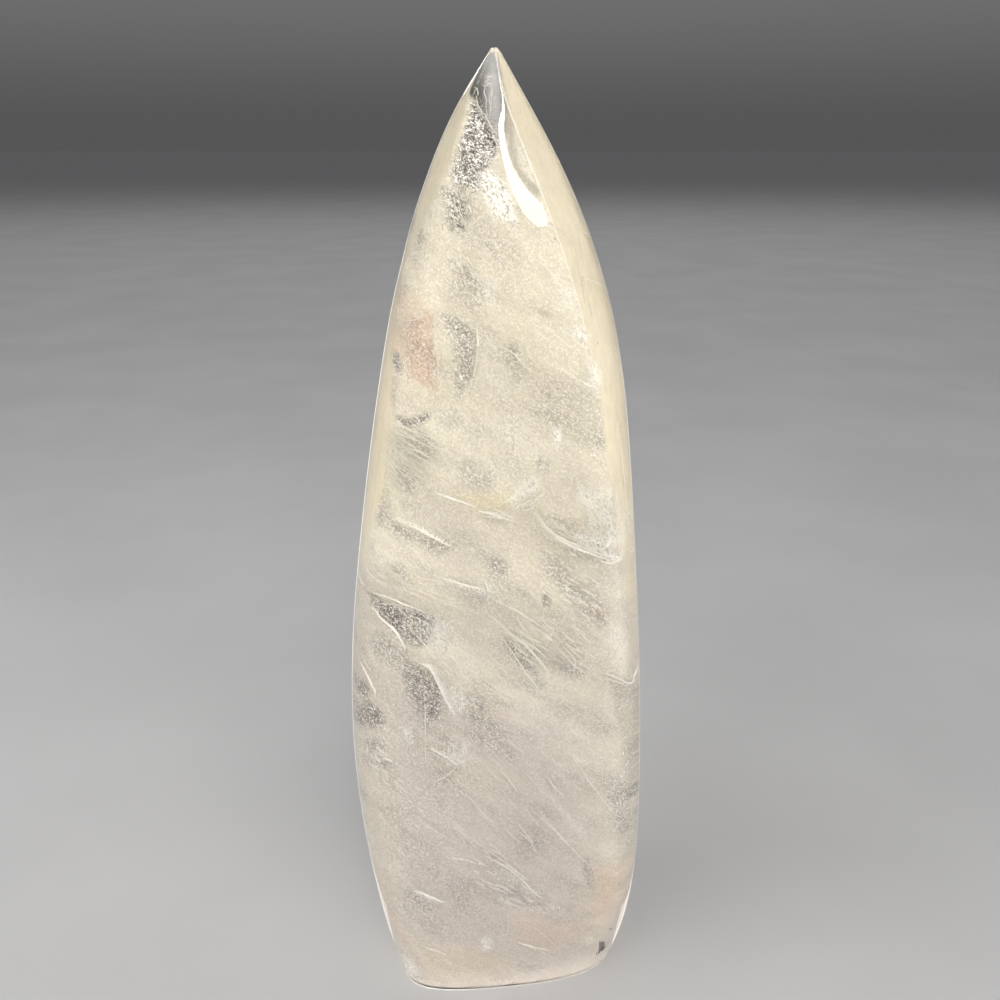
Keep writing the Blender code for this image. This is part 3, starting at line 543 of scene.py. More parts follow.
def an_amount(name, default, description, low=0.0, high=100.0):
    return FloatProperty(name=name, description=description, default=default, min=low, max=high)


def a_length(name, default, description):
    return FloatProperty(name=name, description=description, default=default, precision=5, unit="LENGTH")


def a_count(name, default, description):
    return IntProperty(name=name, description=description, default=default, min=0)


def a_colour(name, default, description):
    return FloatVectorProperty(name=name, description=description, default=default, subtype="COLOR", size=3)


class QuartzSizes(bpy.types.PropertyGroup):
    skin_roughness: an_amount("Polish roughness", 0.012, "How rough the polished faces are", high=0.2)
    heart_voxel: a_length("Heart fineness", 0.0013, "Size of the heart's mesh cells")
    lump_depth: a_length("Lump depth", 0.0009, "How far the heart's lumps stand in and out")
    hollow_depth: a_length("Hollow depth", 0.0016, "How far the hollows go into the heart")
    outer_cover: an_amount("Outer milk", 0.13, "Share that the outer layer of milk covers", high=1.0)
    veil_thickness: a_length("Veil thickness", 0.00012, "Thickness of a healed fracture")
    hollow_gain: an_amount("Hollow gain", 0.8, "How strongly all but the strong hollows darken", high=2.0)
    loose_flakes: a_count("Loose flakes", 900, "Bright flakes strewn through the whole stone")
    fine_strokes: a_count("Fine strokes", 190, "Short fine veils strewn through the whole stone")
    back_veils: a_count("Back veils", 50, "Veils on the sides and the back")


class QuartzColours(bpy.types.PropertyGroup):
    cream: a_colour("Cream", (0.655, 0.605, 0.495), "Milk in the upper half of the stone")
    ash: a_colour("Ash", (0.59, 0.535, 0.485), "Milk in the lower half of the stone")
    # Painted shade: the dark seen through the clearer quartz where the milk thins out.
    hollow: a_colour("Hollow", (0.15, 0.132, 0.12), "Where the milk thins out and the stone looks dark")
    # Painted light: the side facets' milk, smoother and lighter than the front's.
    facet: a_colour("Facet", (0.68, 0.61, 0.465), "Smooth milk behind the side facets")
    # Dusk greys the clear foot corner a little and paints the shade of the grey band beside the strip lamp's
    # highlight.
    dusk: a_colour("Dusk", (0.27, 0.25, 0.235), "Smooth grey zones")
    # Painted shade: the dark studio seen through the clear window below the tip.
    window: a_colour("Window", (0.225, 0.222, 0.218), "Back of the clear window below the tip")
    # Also the colour of the ridge ribbons' painted highlights.
    veil: a_colour("Veil", (0.95, 0.94, 0.90), "Bright veils and healed fractures")
    rust: a_colour("Rust", (0.67, 0.475, 0.355), "Faint iron stains")
    straw: a_colour("Straw", (0.70, 0.60, 0.34), "Faint yellow stains")


class QuartzStage(bpy.types.PropertyGroup):
    floor: a_colour("Floor", (0.62, 0.62, 0.628), "Colour of the pale floor")
    surround: a_colour("Surround", (0.22, 0.22, 0.225), "Colour of the plain studio around")
    strip_light: an_amount("Strip light", 17.0, "Brightness of the bent strip lamps")


def settings():
    scene = bpy.context.scene
    return scene.quartz_sizes, scene.quartz_colours, scene.quartz_stage


def deselect_all():
    if bpy.context.mode != "OBJECT":
        bpy.ops.object.mode_set(mode="OBJECT")
    bpy.ops.object.select_all(action="DESELECT")


def make_active(piece):
    deselect_all()
    piece.select_set(True)
    bpy.context.view_layer.objects.active = piece


def open_for_editing(piece):
    """Opens a piece in edit mode with everything in it selected."""
    make_active(piece)
    bpy.ops.object.mode_set(mode="EDIT")
    bpy.ops.mesh.select_all(action="SELECT")


def apply_modifier(piece, kind, **values):
    make_active(piece)
    modifier = piece.modifiers.new(kind.lower(), kind)
    for name, value in values.items():
        setattr(modifier, name, value)
    bpy.ops.object.modifier_apply(modifier=modifier.name)


def add_lumps(piece, size, depth, detail=2):
    """Moves a piece's surface in and out in soft lumps."""
    texture = bpy.data.textures.new(piece.name + " lumps", "CLOUDS")
    texture.noise_scale = size
    texture.noise_depth = detail
    apply_modifier(piece, "DISPLACE", texture=texture, texture_coords="LOCAL", strength=depth, mid_level=0.5)


def new_object(name, data):
    piece = bpy.data.objects.new(name, data)
    bpy.context.scene.collection.objects.link(piece)
    return piece


def new_grid(name, columns, rows):
    """A flat grid of so many points each way, a metre wide, to be bent into shape."""
    bpy.ops.mesh.primitive_grid_add(x_subdivisions=columns - 1, y_subdivisions=rows - 1, size=1.0)
    piece = bpy.context.object
    piece.name = name
    return piece


def store(mesh, name, values):
    """Stores a value on each point of a mesh, for the materials to read."""
    layer = mesh.attributes.new(name, "FLOAT", "POINT")
    layer.data.foreach_set("value", np.asarray(values, np.float32))


def points_of(piece):
    flat = np.empty(len(piece.data.vertices) * 3, np.float64)
    piece.data.vertices.foreach_get("co", flat)
    return flat.reshape(-1, 3)


def join_pieces(pieces, name):
    deselect_all()
    for piece in pieces:
        piece.select_set(True)
    bpy.context.view_layer.objects.active = pieces[0]
    bpy.ops.object.join()
    piece = bpy.context.object
    piece.name = piece.data.name = name
    make_active(piece)
    bpy.ops.object.transform_apply(location=True, rotation=True, scale=True)
    return piece


def hand_over(piece, material):
    """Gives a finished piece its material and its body."""
    piece.data.materials.clear()
    piece.data.materials.append(material)
    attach(piece, BODY)


def stone_copy(name):
    """A merged copy of the stone's CAD mesh, in four-sided faces where it can be, its foot rim kept sharp."""
    piece = new_object(name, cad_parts[STONE_NODE].data.copy())
    piece.data.name = name
    piece.data.materials.clear()
    open_for_editing(piece)
    bpy.ops.mesh.remove_doubles(threshold=0.01 * MM)
    bpy.ops.mesh.tris_convert_to_quads(face_threshold=math.radians(60), shape_threshold=math.radians(60))
    bpy.ops.mesh.select_mode(type="EDGE")
    bpy.ops.mesh.select_all(action="DESELECT")
    mesh = bmesh.from_edit_mesh(piece.data)
    for edge in mesh.edges:
        under = [face.normal.z < -0.95 and face.calc_center_median().z < 0.1 * MM for face in edge.link_faces]
        if len(under) == 2 and under[0] != under[1]:
            edge.select_set(True)
    bmesh.update_edit_mesh(piece.data)
    bpy.ops.transform.edge_crease(value=1.0)
    bpy.ops.object.mode_set(mode="OBJECT")
    apply_modifier(piece, "SUBSURF", levels=2, render_levels=2)
    return piece


class Stone:
    """Finds places on and under the stone's surface."""

    def __init__(self):
        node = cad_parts[STONE_NODE]
        self.tree = BVHTree.FromPolygons(
            [v.co for v in node.data.vertices], [tuple(p.vertices) for p in node.data.polygons])

    @staticmethod
    def axes(facing):
        """Across and outward directions for a facing."""
        turn = math.radians(facing)
        return Vector((math.cos(turn), math.sin(turn), 0.0)), Vector((math.sin(turn), -math.cos(turn), 0.0))

    def under(self, facing, across, up, depth):
        """The place at a depth under the surface, so far across and up seen from a facing, and its normal."""
        side, out = self.axes(facing)
        start = side * across + out * 0.3 + Vector((0.0, 0.0, up))
        place, normal, _, _ = self.tree.ray_cast(start, -out)
        if place is None:
            return None, None
        return place - normal * depth, normal

    def depth(self, place):
        """How far a place lies under the surface; below zero outside."""
        near, normal, _, _ = self.tree.find_nearest(place)
        return (near - place).dot(normal)


STONE = Stone()


def reach_at(facing, up, inset=0.0, top=TOP):
    """How far (mm) to either side strewn marks may lie, seen from a facing at a height."""
    half = NARROW_HALF if 60 < facing % 180 < 120 else BROAD_HALF
    return (half - inset) * min(1.0, (top - up) / TAPER)


def spot_in_ellipse(rng, half):
    """An even random spot in an ellipse of the given half sizes."""
    reach, way = math.sqrt(rng.random()), rng.uniform(0, math.tau)
    return half[0] * reach * math.cos(way), half[1] * reach * math.sin(way)


def outline_share(flat, outline, soft):
    """How much a closed outline holds at each flat point (mm), fading over the softness at its rim."""
    share = np.zeros(len(flat))
    corners = np.array(outline)
    near = np.all((flat > corners.min(0) - soft) & (flat < corners.max(0) + soft), axis=1)
    places = flat[near]
    gap, inside = np.full(len(places), 1e9), np.zeros(len(places), bool)
    for start, end in zip(corners, np.roll(corners, -1, axis=0)):
        edge, offset = end - start, places - start
        along = np.clip(offset @ edge / max(edge @ edge, 1e-9), 0.0, 1.0)
        gap = np.minimum(gap, np.linalg.norm(offset - along[:, None] * edge, axis=1))
        straddles = (start[1] > places[:, 1]) != (end[1] > places[:, 1])
        rise = edge[1] if edge[1] else 1e-9
        inside ^= straddles & (places[:, 0] < edge[0] * (places[:, 1] - start[1]) / rise + start[0])
    level = np.clip(0.5 + np.where(inside, gap, -gap) / (2.0 * soft), 0.0, 1.0)
    share[near] = level * level * (3.0 - 2.0 * level)
    return share


def patch_share(points, facing, place, half_size, turn):
    """How much a soft ellipse under the surface holds at each point."""
    across, up = (v * MM for v in place)
    centre, _ = STONE.under(facing, across, up, 3.0 * MM)
    if centre is None:
        return np.zeros(len(points))
    side, out = (np.array(v) for v in Stone.axes(facing))
    offset = points - np.array(centre)
    right, height, away = offset @ side, offset[:, 2], offset @ out
    angle = math.radians(turn)
    along = right * math.cos(angle) - height * math.sin(angle)
    over = right * math.sin(angle) + height * math.cos(angle)
    sizes = (half_size[0] * MM, half_size[1] * MM, PATCH_THICK * MM)
    reach = np.sqrt(sum((way / size) ** 2 for way, size in zip((along, over, away), sizes)))
    share = np.clip(1.0 - reach, 0.0, 1.0)
    return share * share * (3.0 - 2.0 * share)


def seen_places(points, share):
    """Where each point of a layer is seen from the front: places across and up (mm) on the heart."""
    depth = np.abs(points[:, 1]) / MM * (1.0 - HEART_LAYER[1] / share)
    heights, sinks = zip(*SINK)
    up = points[:, 2] / MM
    return np.stack([points[:, 0] / MM, up - depth * np.interp(up, heights, sinks)], axis=1)


def around_hollows():
    """Hollows and clouds for the sides and the back, of the same kind as the front's."""
    rng = Random(11)
    for _ in range(64):
        facing = rng.uniform(*SIDES_AND_BACK)
        up = rng.uniform(14, 300)
        reach = reach_at(facing, up)
        place = (rng.uniform(-reach, reach) * 0.8, up)
        size = (rng.uniform(6, 20), rng.uniform(3.5, 9.0))
        kind = "hollow" if rng.random() < 0.6 else "cloud"
        yield kind, facing, place, size, rng.gauss(32, 14), rng.uniform(0.4, 1.0)


def paint_marks(piece, share):
    """Stores on the piece's points how much of each mark there is, and returns it."""
    sizes, _, _ = settings()
    points = points_of(piece)
    (fine, slight), (broad, far) = RAGGED
    shifts = np.array([
        tuple(noise.noise_vector(Vector(p) * fine) * slight + noise.noise_vector(Vector(p) * broad) * far)
        for p in points])
    seen = seen_places(points, share)
    flat = seen + shifts[:, ::2]
    front = np.clip(0.5 - points[:, 1] / (6.0 * MM), 0.0, 1.0)
    around = points + shifts * 2.0 * MM
    marks = {name: np.zeros(len(points)) for name in MARKS}

    def add(kind, values):
        marks[kind] = np.maximum(marks[kind], values) + np.minimum(marks[kind], values) * 0.4

    for kind, table in (("hollow", HOLLOWS), ("cloud", CLOUDS)):
        for name, outline, strength, soft in table:
            held = front * outline_share(flat, outline, soft * 1.25)
            gain = sizes.hollow_gain if kind == "hollow" and strength < STRONG_HOLLOW else 1.0
            add(kind, gain * strength * held)
            if kind == "hollow" and name in CRUSHED:
                add("crush", CRUSHED[name] * held)
            if kind == "cloud" and name in FROSTED:
                add("frost", FROSTED[name] * held)
            if name in STROKED:
                add("strokes", 0.9 * held)
    for _, outline, strength, soft, kind in STAINS:
        add(kind, strength * front * outline_share(flat, outline, soft * 2.0))
    for kind, facing, place, size, turn, strength in around_hollows():
        add(kind, strength * patch_share(around, facing, place, size, turn))
    for _, outline, strength, soft, dusk in FACETS:
        held = front * outline_share(seen + shifts[:, ::2] * 0.12, outline, soft)
        add("smooth", strength * held)
        add("dusk", dusk * held)
    for name in ("hollow", "cloud"):
        marks[name] *= 1.0 - 0.75 * np.clip(marks["smooth"], 0.0, 1.0)
    for name, values in marks.items():
        store(piece.data, name, values)
    return marks


class Wiring:
    """Adds and joins the nodes of one material or node group."""

    def __init__(self, tree):
        self.tree = tree

    def feed(self, socket, value):
        if isinstance(value, bpy.types.NodeSocket):
            self.tree.links.new(value, socket)
        elif isinstance(value, (int, float)):
            socket.default_value = value
        elif len(value) == 3 and len(socket.default_value) == 4:
            socket.default_value = (*value, 1.0)
        else:
            socket.default_value = value

    def node(self, kind, inputs=None, **attributes):
        node = self.tree.nodes.new(kind)
        for name, value in attributes.items():
            setattr(node, name, value)
        for name, value in (inputs or {}).items():
            self.feed(node.inputs[name], value)
        return node

    def math(self, operation, first, second=0.0, clamp=False):
        values = {0: first, 1: second}
        return self.node("ShaderNodeMath", values, operation=operation, use_clamp=clamp).outputs[0]

    def plus(self, first, second, clamp=False):
        return self.math("ADD", first, second, clamp)

    def minus(self, first, second, clamp=False):
        return self.math("SUBTRACT", first, second, clamp)

    def times(self, first, second, clamp=False):
        return self.math("MULTIPLY", first, second, clamp)

    def larger(self, first, second, clamp=False):
        return self.math("MAXIMUM", first, second, clamp)

    def cut_out(self, level, pattern, sharpness):
        """One where the level is over the pattern and nothing elsewhere."""
        solid = self.times(self.minus(level, pattern), sharpness)
        return self.math("ROUND", self.plus(solid, 0.5, clamp=True))

    def mix(self, share, first, second, blend="MIX"):
        node = self.node("ShaderNodeMix", data_type="RGBA", blend_type=blend)
        for index, value in ((0, share), (6, first), (7, second)):
            self.feed(node.inputs[index], value)
        return node.outputs[2]

    def toned(self, colour, tone):
        """The colour made lighter or darker by a tone."""
        grey = self.node("ShaderNodeCombineColor", {0: tone, 1: tone, 2: tone}).outputs[0]
        return self.mix(1.0, colour, grey, "MULTIPLY")

    def spread(self, value, low, high, to_low=0.0, to_high=1.0, smooth=True):
        """The value with its range from low to high spread over another range."""
        return self.node(
            "ShaderNodeMapRange",
            {"Value": value, "From Min": low, "From Max": high, "To Min": to_low, "To Max": to_high},
            interpolation_type="SMOOTHSTEP" if smooth else "LINEAR",
        ).outputs[0]

    def noise(self, place, scale, detail=2.0, roughness=0.5, distortion=0.0):
        values = {"Vector": place, "Scale": scale, "Detail": detail, "Roughness": roughness}
        return self.node("ShaderNodeTexNoise", {**values, "Distortion": distortion}).outputs["Fac"]

    def pattern(self, name, place):
        """A pattern of noise, turned about the stone's depth axis and stretched along its turned axes."""
        turn, stretch, *looks = PATTERNS[name]
        turned = self.node(
            "ShaderNodeMapping",
            {"Vector": place, "Rotation": (0.0, math.radians(turn), 0.0), "Scale": stretch},
            vector_type="TEXTURE",
        ).outputs[0]
        return self.noise(turned, *looks)

    def place(self):
        return self.node("ShaderNodeTexCoord").outputs["Object"]

    def parts(self, place):
        return self.node("ShaderNodeSeparateXYZ", {0: place}).outputs

    def attribute(self, name):
        return self.node("ShaderNodeAttribute", attribute_name=name).outputs["Fac"]

    def bump(self, height, strength, distance):
        return self.node(
            "ShaderNodeBump", {"Height": height, "Strength": strength, "Distance": distance}).outputs[0]


def milk_group():
    """A node group for the colour of the milk and its patterns, shared by the layers of milk."""
    name = "Quartz milk"
    if name in bpy.data.node_groups:
        return bpy.data.node_groups[name]
    group = bpy.data.node_groups.new(name, "ShaderNodeTree")
    patterns = ("Grain", "Flecks", "Fine", "Hairs", "Drift")
    for way, kind, titles in (
        ("INPUT", "NodeSocketVector", ("Place",)),
        ("INPUT", "NodeSocketColor", ("Cream", "Ash", "Rust", "Straw")),
        ("INPUT", "NodeSocketFloat", ("Seed", "Rust Share", "Straw Share")),
        ("OUTPUT", "NodeSocketColor", ("Color",)),
        ("OUTPUT", "NodeSocketFloat", patterns),
    ):
        for title in titles:
            group.interface.new_socket(title, in_out=way, socket_type=kind)
    w = Wiring(group)
    given, result = w.node("NodeGroupInput").outputs, w.node("NodeGroupOutput").inputs
    seed = w.node("ShaderNodeCombineXYZ", {0: given["Seed"], 1: 0.0, 2: given["Seed"]}).outputs[0]
    seeded = w.node("ShaderNodeVectorMath", {0: given["Place"], 1: seed}, operation="ADD").outputs[0]
    parts = w.parts(given["Place"])
    drift = w.spread(w.pattern("drift", seeded), 0.3, 0.7)
    height = w.plus(parts["Z"], w.spread(drift, 0.0, 1.0, -0.03, 0.03))
    sideways = w.spread(w.math("ABSOLUTE", parts["X"]), 0.022, 0.044)
    warm = w.larger(w.spread(height, WARM_FROM, WARM_TO), w.times(sideways, 0.45))
    colour = w.mix(warm, given["Ash"], given["Cream"])
    colour = w.mix(given["Rust Share"], colour, given["Rust"])
    colour = w.mix(given["Straw Share"], colour, given["Straw"])
    grain = w.spread(w.pattern("grain", seeded), 0.32, 0.68)
    flecks = w.spread(w.pattern("flecks", seeded), 0.36, 0.64)
    fine = w.spread(w.pattern("fine flecks", seeded), 0.36, 0.64)
    hairs = w.spread(w.pattern("bright hairs", seeded), 0.60, 0.72)
    tone = w.times(w.spread(drift, 0.0, 1.0, 0.93, 1.05), w.spread(grain, 0.0, 1.0, 0.97, 1.025))
    tone = w.times(tone, w.spread(flecks, 0.0, 1.0, 0.96, 1.035))
    tone = w.times(tone, w.spread(fine, 0.0, 1.0, 0.94, 1.06))
    w.feed(result["Color"], w.toned(colour, tone))
    for title, value in zip(patterns, (grain, flecks, fine, hairs, drift)):
        w.feed(result[title], value)
    return group


def blank_material(name):
    """A material without nodes, and its wiring."""
    material = bpy.data.materials.new(name)
    material.use_nodes = True
    material.node_tree.nodes.clear()
    return material, Wiring(material.node_tree)


def new_material(name, **sockets):
    material, w = blank_material(name)
    shader = w.node("ShaderNodeBsdfPrincipled", sockets)
    w.node("ShaderNodeOutputMaterial", {"Surface": shader.outputs[0]})
    return material, w, shader.inputs


def glow_material(name, tint, strength, attribute=None):
    """A glowing material, dimmed by a value stored on the piece's points where one is named."""
    material, w = blank_material(name)
    if attribute:
        strength = w.times(w.attribute(attribute), strength)
    glow = w.node("ShaderNodeEmission", {"Color": tint, "Strength": strength})
    w.node("ShaderNodeOutputMaterial", {"Surface": glow.outputs[0]})
    return material


def milk_node(w, seed):
    _, colours, _ = settings()
    given = {
        "Place": w.place(), "Seed": seed, "Cream": colours.cream, "Ash": colours.ash, "Rust": colours.rust,
        "Straw": colours.straw, "Rust Share": w.attribute("rust"), "Straw Share": w.attribute("straw"),
    }
    milk = w.node("ShaderNodeGroup", node_tree=milk_group())
    for title, value in given.items():
        w.feed(milk.inputs[title], value)
    return milk.outputs


def skin_material():
    sizes, _, _ = settings()
    material, w, shader = new_material(
        "polished quartz", **{"Base Color": (1.0, 1.0, 1.0), "IOR": QUARTZ_IOR, "Transmission Weight": 1.0})
    place = w.place()
    haze = w.noise(place, 60.0, 3.0)
    w.feed(shader["Roughness"], w.spread(haze, 0.4, 0.75, sizes.skin_roughness, sizes.skin_roughness * 2.5))
    w.feed(shader["Normal"], w.bump(w.noise(place, 45.0, 1.0), 0.15, 0.1 * MM))
    return material


def heart_material():
    """Milk with hollows and clouds, smooth facets and the clear window."""
    _, colours, _ = settings()
    material, w, shader = new_material("milky quartz", **{"Roughness": 0.6, "Specular IOR Level": 0.2})
    milk = milk_node(w, 0.0)
    place = w.place()
    parts = w.parts(place)
    smooth, window, crush = w.attribute("smooth"), w.attribute("window"), w.attribute("crush")
    frost, strokes = w.attribute("frost"), w.attribute("strokes")
    rough = w.minus(1.0, w.larger(window, smooth), clamp=True)
    speck = w.plus(w.times(milk["Flecks"], 0.45), w.times(milk["Fine"], 0.55))
    squiggle = w.pattern("squiggles", place)
    contour = w.spread(w.pattern("frost hairs", place), 0.41, 0.50)
    dash = w.pattern("dashes", place)

    # Dark marks: hollows, where the dark seen through the thinner milk is painted shade, and a soft shade
    # everywhere, bitten into by specks; then crush, frost and strokes.
    shade = w.spread(w.pattern("shade", place), 0.46, 0.74)
    hollow = w.plus(w.attribute("hollow"), w.times(w.times(shade, 0.34), rough))
    pits = w.times(crush, w.spread(squiggle, 0.42, 0.50, 1.0, 0.0))
    dark = w.times(hollow, w.spread(speck, 0.08, 0.92, 1.22, 0.68), clamp=True)
    dark = w.larger(dark, pits, clamp=True)
    dark = w.larger(dark, w.times(frost, w.spread(contour, 0.0, 1.0, 0.6, 0.0)), clamp=True)
    dark = w.larger(dark, w.times(strokes, w.spread(dash, 0.34, 0.48, 0.5, 0.0)), clamp=True)

    # Light marks: hairs, glints and clouds; frost takes their place where it is, then come crush and strokes.
    light = w.times(w.times(milk["Hairs"], w.spread(milk["Drift"], 0.2, 0.8, 0.08, 0.32)), rough)
    glint = w.plus(w.spread(parts["Z"], 0.07, 0.22, 0.12, 0.30), w.times(hollow, 0.9))
    glint = w.times(w.spread(speck, 0.66, 0.9), glint)
    light = w.larger(light, w.times(glint, rough))
    milky = w.times(w.attribute("cloud"), w.spread(speck, 0.2, 0.8, 0.2, 1.0))
    light = w.larger(light, w.times(milky, w.spread(contour, 0.0, 1.0, 0.2, 1.0)))
    light = w.times(light, w.minus(1.0, frost, clamp=True))
    light = w.larger(light, w.times(frost, contour), clamp=True)
    light = w.larger(light, w.times(crush, w.spread(squiggle, 0.54, 0.60, 0.0, 0.95)), clamp=True)
    light = w.larger(light, w.times(strokes, w.spread(dash, 0.54, 0.66, 0.0, 0.6)), clamp=True)

    colour = w.mix(dark, milk["Color"], colours.hollow)
    colour = w.mix(w.times(pits, 0.6), colour, PIT_COLOUR)
    # The facets' milk runs in faint upright streaks and darkens towards the tip; it is painted smooth and
    # lighter than the front's, for the light that the slanted facets gather by refraction and inner
    # reflection.
    facet = w.mix(w.spread(parts["Z"], WARM_FROM, WARM_TO), colours.ash, colours.facet)
    facet = w.toned(facet, w.spread(w.pattern("streaks", place), 0.3, 0.7, 0.95, 1.05))
    facet = w.toned(facet, w.spread(parts["Z"], 0.235, 0.315, 1.04, 0.84))
    colour = w.mix(w.times(smooth, 0.85), colour, facet)
    # Painted shade: dusk greys the band beside the strip lamp's highlight, and the clear foot corner a
    # little.
    colour = w.mix(w.attribute("dusk"), colour, colours.dusk)
    # Painted shade: the back of the window stands for the dark studio seen through the clear tip, dark on its
    # left and light on its right.
    pane = w.toned(colours.window, w.spread(parts["X"], -0.0062, 0.0008, 0.32, 2.1))
    colour = w.mix(window, colour, pane)
    w.feed(shader["Base Color"], w.mix(light, colour, colours.veil))
    w.feed(shader["Normal"], w.bump(milk["Grain"], 0.25, 0.25 * MM))
    return material


def layer_material(name, seed, cover):
    """A layer of milk: opaque flecks with gaps between them, dense in clouds."""
    _, colours, _ = settings()
    material, w, shader = new_material(name, **{"Roughness": 0.5, "Specular IOR Level": 0.25})
    milk = milk_node(w, seed)
    cloud = w.attribute("cloud")
    w.feed(shader["Base Color"], w.mix(w.plus(0.10, w.times(cloud, 0.6)), milk["Color"], colours.veil))
    share = w.plus(cover, w.times(cloud, 0.2))
    share = w.times(share, w.spread(milk["Drift"], 0.1, 0.9, 0.4, 1.5))
    for bare in ("window", "smooth", "crush", "frost"):
        share = w.minus(share, w.attribute(bare))
    flecks = w.spread(w.pattern("layer flecks", w.place()), 0.33, 0.67)
    w.feed(shader["Alpha"], w.cut_out(share, flecks, 30.0))
    return material


def veil_material():
    """Veils keep near the milk's colour where they are faint and turn white where they are strong; the ridge
    ribbons' painted highlights take this material too.
    """
    _, colours, _ = settings()
    material, w, shader = new_material("healed fracture", **{"Roughness": 0.35, "Specular IOR Level": 0.5})
    place = w.place()
    milk = w.mix(w.spread(w.parts(place)["Z"], WARM_FROM, WARM_TO), colours.ash, colours.cream)
    flecks = w.noise(place, 1900.0, 2.0, 0.6)
    body = w.attribute("veil_body")
    white = w.times(w.spread(body, 0.1, 1.0, 0.22, 0.78), w.spread(flecks, 0.35, 0.6, 0.6, 1.0), clamp=True)
    w.feed(shader["Base Color"], w.mix(white, milk, colours.veil))
    level = w.spread(body, 0.0, 1.0, 0.34, 0.61, smooth=False)
    w.feed(shader["Alpha"], w.cut_out(level, flecks, 40.0))
    return material


def flake_material(name, colour, metal, roughness):
    material, w, shader = new_material(name, **{"Metallic": metal, "Specular IOR Level": 0.5})
    shade = w.noise(w.place(), 500.0, 2.0, 0.6)
    w.feed(shader["Base Color"], w.mix(w.spread(shade, 0.35, 0.65), tuple(c * 0.75 for c in colour), colour))
    w.feed(shader["Roughness"], w.spread(shade, 0.3, 0.7, roughness * 0.7, roughness * 1.4))
    return material


class QUARTZ_OT_polished_skin(bpy.types.Operator):
    """Polished outer faces of the stone, clear as glass"""
    bl_idname = "quartz.polished_skin"
    bl_label = "Polished skin"

    def execute(self, context):
        skin = stone_copy("polished_skin")
        make_active(skin)
        bpy.ops.object.shade_smooth_by_angle(angle=math.radians(40))
        hand_over(skin, skin_material())
        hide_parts(STONE_NODE)
        skin.visible_shadow = False
        return {"FINISHED"}


def milk_layer(name, shares, voxel, lump_size, lump_depth):
    """A copy of the stone drawn in to its shares of the width and depth, with lumps."""
    piece = stone_copy(name)
    open_for_editing(piece)
    bpy.ops.transform.resize(value=(shares[0], shares[1], 1.0), center_override=(0.0, 0.0, 0.0))
    bpy.ops.mesh.bisect(
        plane_co=(0.0, 0.0, shares[2] * MM), plane_no=(0.0, 0.0, 1.0), use_fill=True, clear_inner=True)
    bpy.ops.object.mode_set(mode="OBJECT")
    apply_modifier(piece, "REMESH", mode="VOXEL", voxel_size=voxel)
    add_lumps(piece, lump_size, lump_depth, 3)
    make_active(piece)
    bpy.ops.object.shade_smooth()
    return piece


def mark_window(piece, share):
    """Stores on the piece's points how much clear window there is, and returns it."""
    points = points_of(piece)
    window = outline_share(seen_places(points, share), WINDOW, 0.6) * (points[:, 1] < 0)
    store(piece.data, "window", window)
    return window


class QUARTZ_OT_milky_layers(bpy.types.Operator):
    """Milky heart and the layer of flecks over it"""
    bl_idname = "quartz.milky_layers"
    bl_label = "Milky heart and flecks"

    def execute(self, context):
        sizes, _, _ = settings()
        noise.seed_set(NOISE_SEED)
        heart = milk_layer("milky_heart", HEART_LAYER, sizes.heart_voxel, HEART_LUMPS, sizes.lump_depth)
        marks = paint_marks(heart, HEART_LAYER[1])
        window = mark_window(heart, HEART_LAYER[1])
        points = points_of(heart)
        # The foot spreads out to the skin, the hollows go in and the window below the tip goes in deepest.
        spread = np.clip(1.0 - (points[:, 2] - FOOT_UP) / FOOT_FADE, 0.0, 1.0) ** 2
        points[:, :2] *= 1.0 + spread[:, None] * FOOT_SPREAD
        inward = -points * (1.0, 1.0, 0.0)
        reach = np.linalg.norm(inward, axis=1)
        push = np.clip(marks["hollow"], 0, 1) * sizes.hollow_depth
        points += inward / np.maximum(reach, 1e-6)[:, None] * push[:, None]
        points[:, 1] *= 1.0 - 0.5 * window
        heart.data.vertices.foreach_set("co", points.ravel())
        heart.data.update()
        hand_over(heart, heart_material())

        outer = milk_layer("outer_flecks", OUTER_LAYER, OUTER_VOXEL, OUTER_LUMPS, OUTER_LUMP_DEPTH)
        paint_marks(outer, OUTER_LAYER[1])
        mark_window(outer, OUTER_LAYER[1])
        hand_over(outer, layer_material("outer flecks", 0.67, sizes.outer_cover))
        return {"FINISHED"}


def smooth_line(points, steps):
    """Points evenly along a smooth curve through the given ones."""
    pts = [Vector(p) for p in points]
    if len(pts) == 2:
        return [pts[0].lerp(pts[1], i / (steps - 1)) for i in range(steps)]
    ends = [pts[0] * 2 - pts[1]] + pts + [pts[-1] * 2 - pts[-2]]
    out = []
    for i in range(steps):
        t = i / (steps - 1) * (len(pts) - 1)
        k = min(int(t), len(pts) - 2)
        f = t - k
        a, b, c, d = ends[k:k + 4]
        bend, twist = 2 * a - 5 * b + 4 * c - d, 3 * b - a - 3 * c + d
        out.append(0.5 * ((2 * b) + (c - a) * f + bend * f * f + twist * f ** 3))
    return out


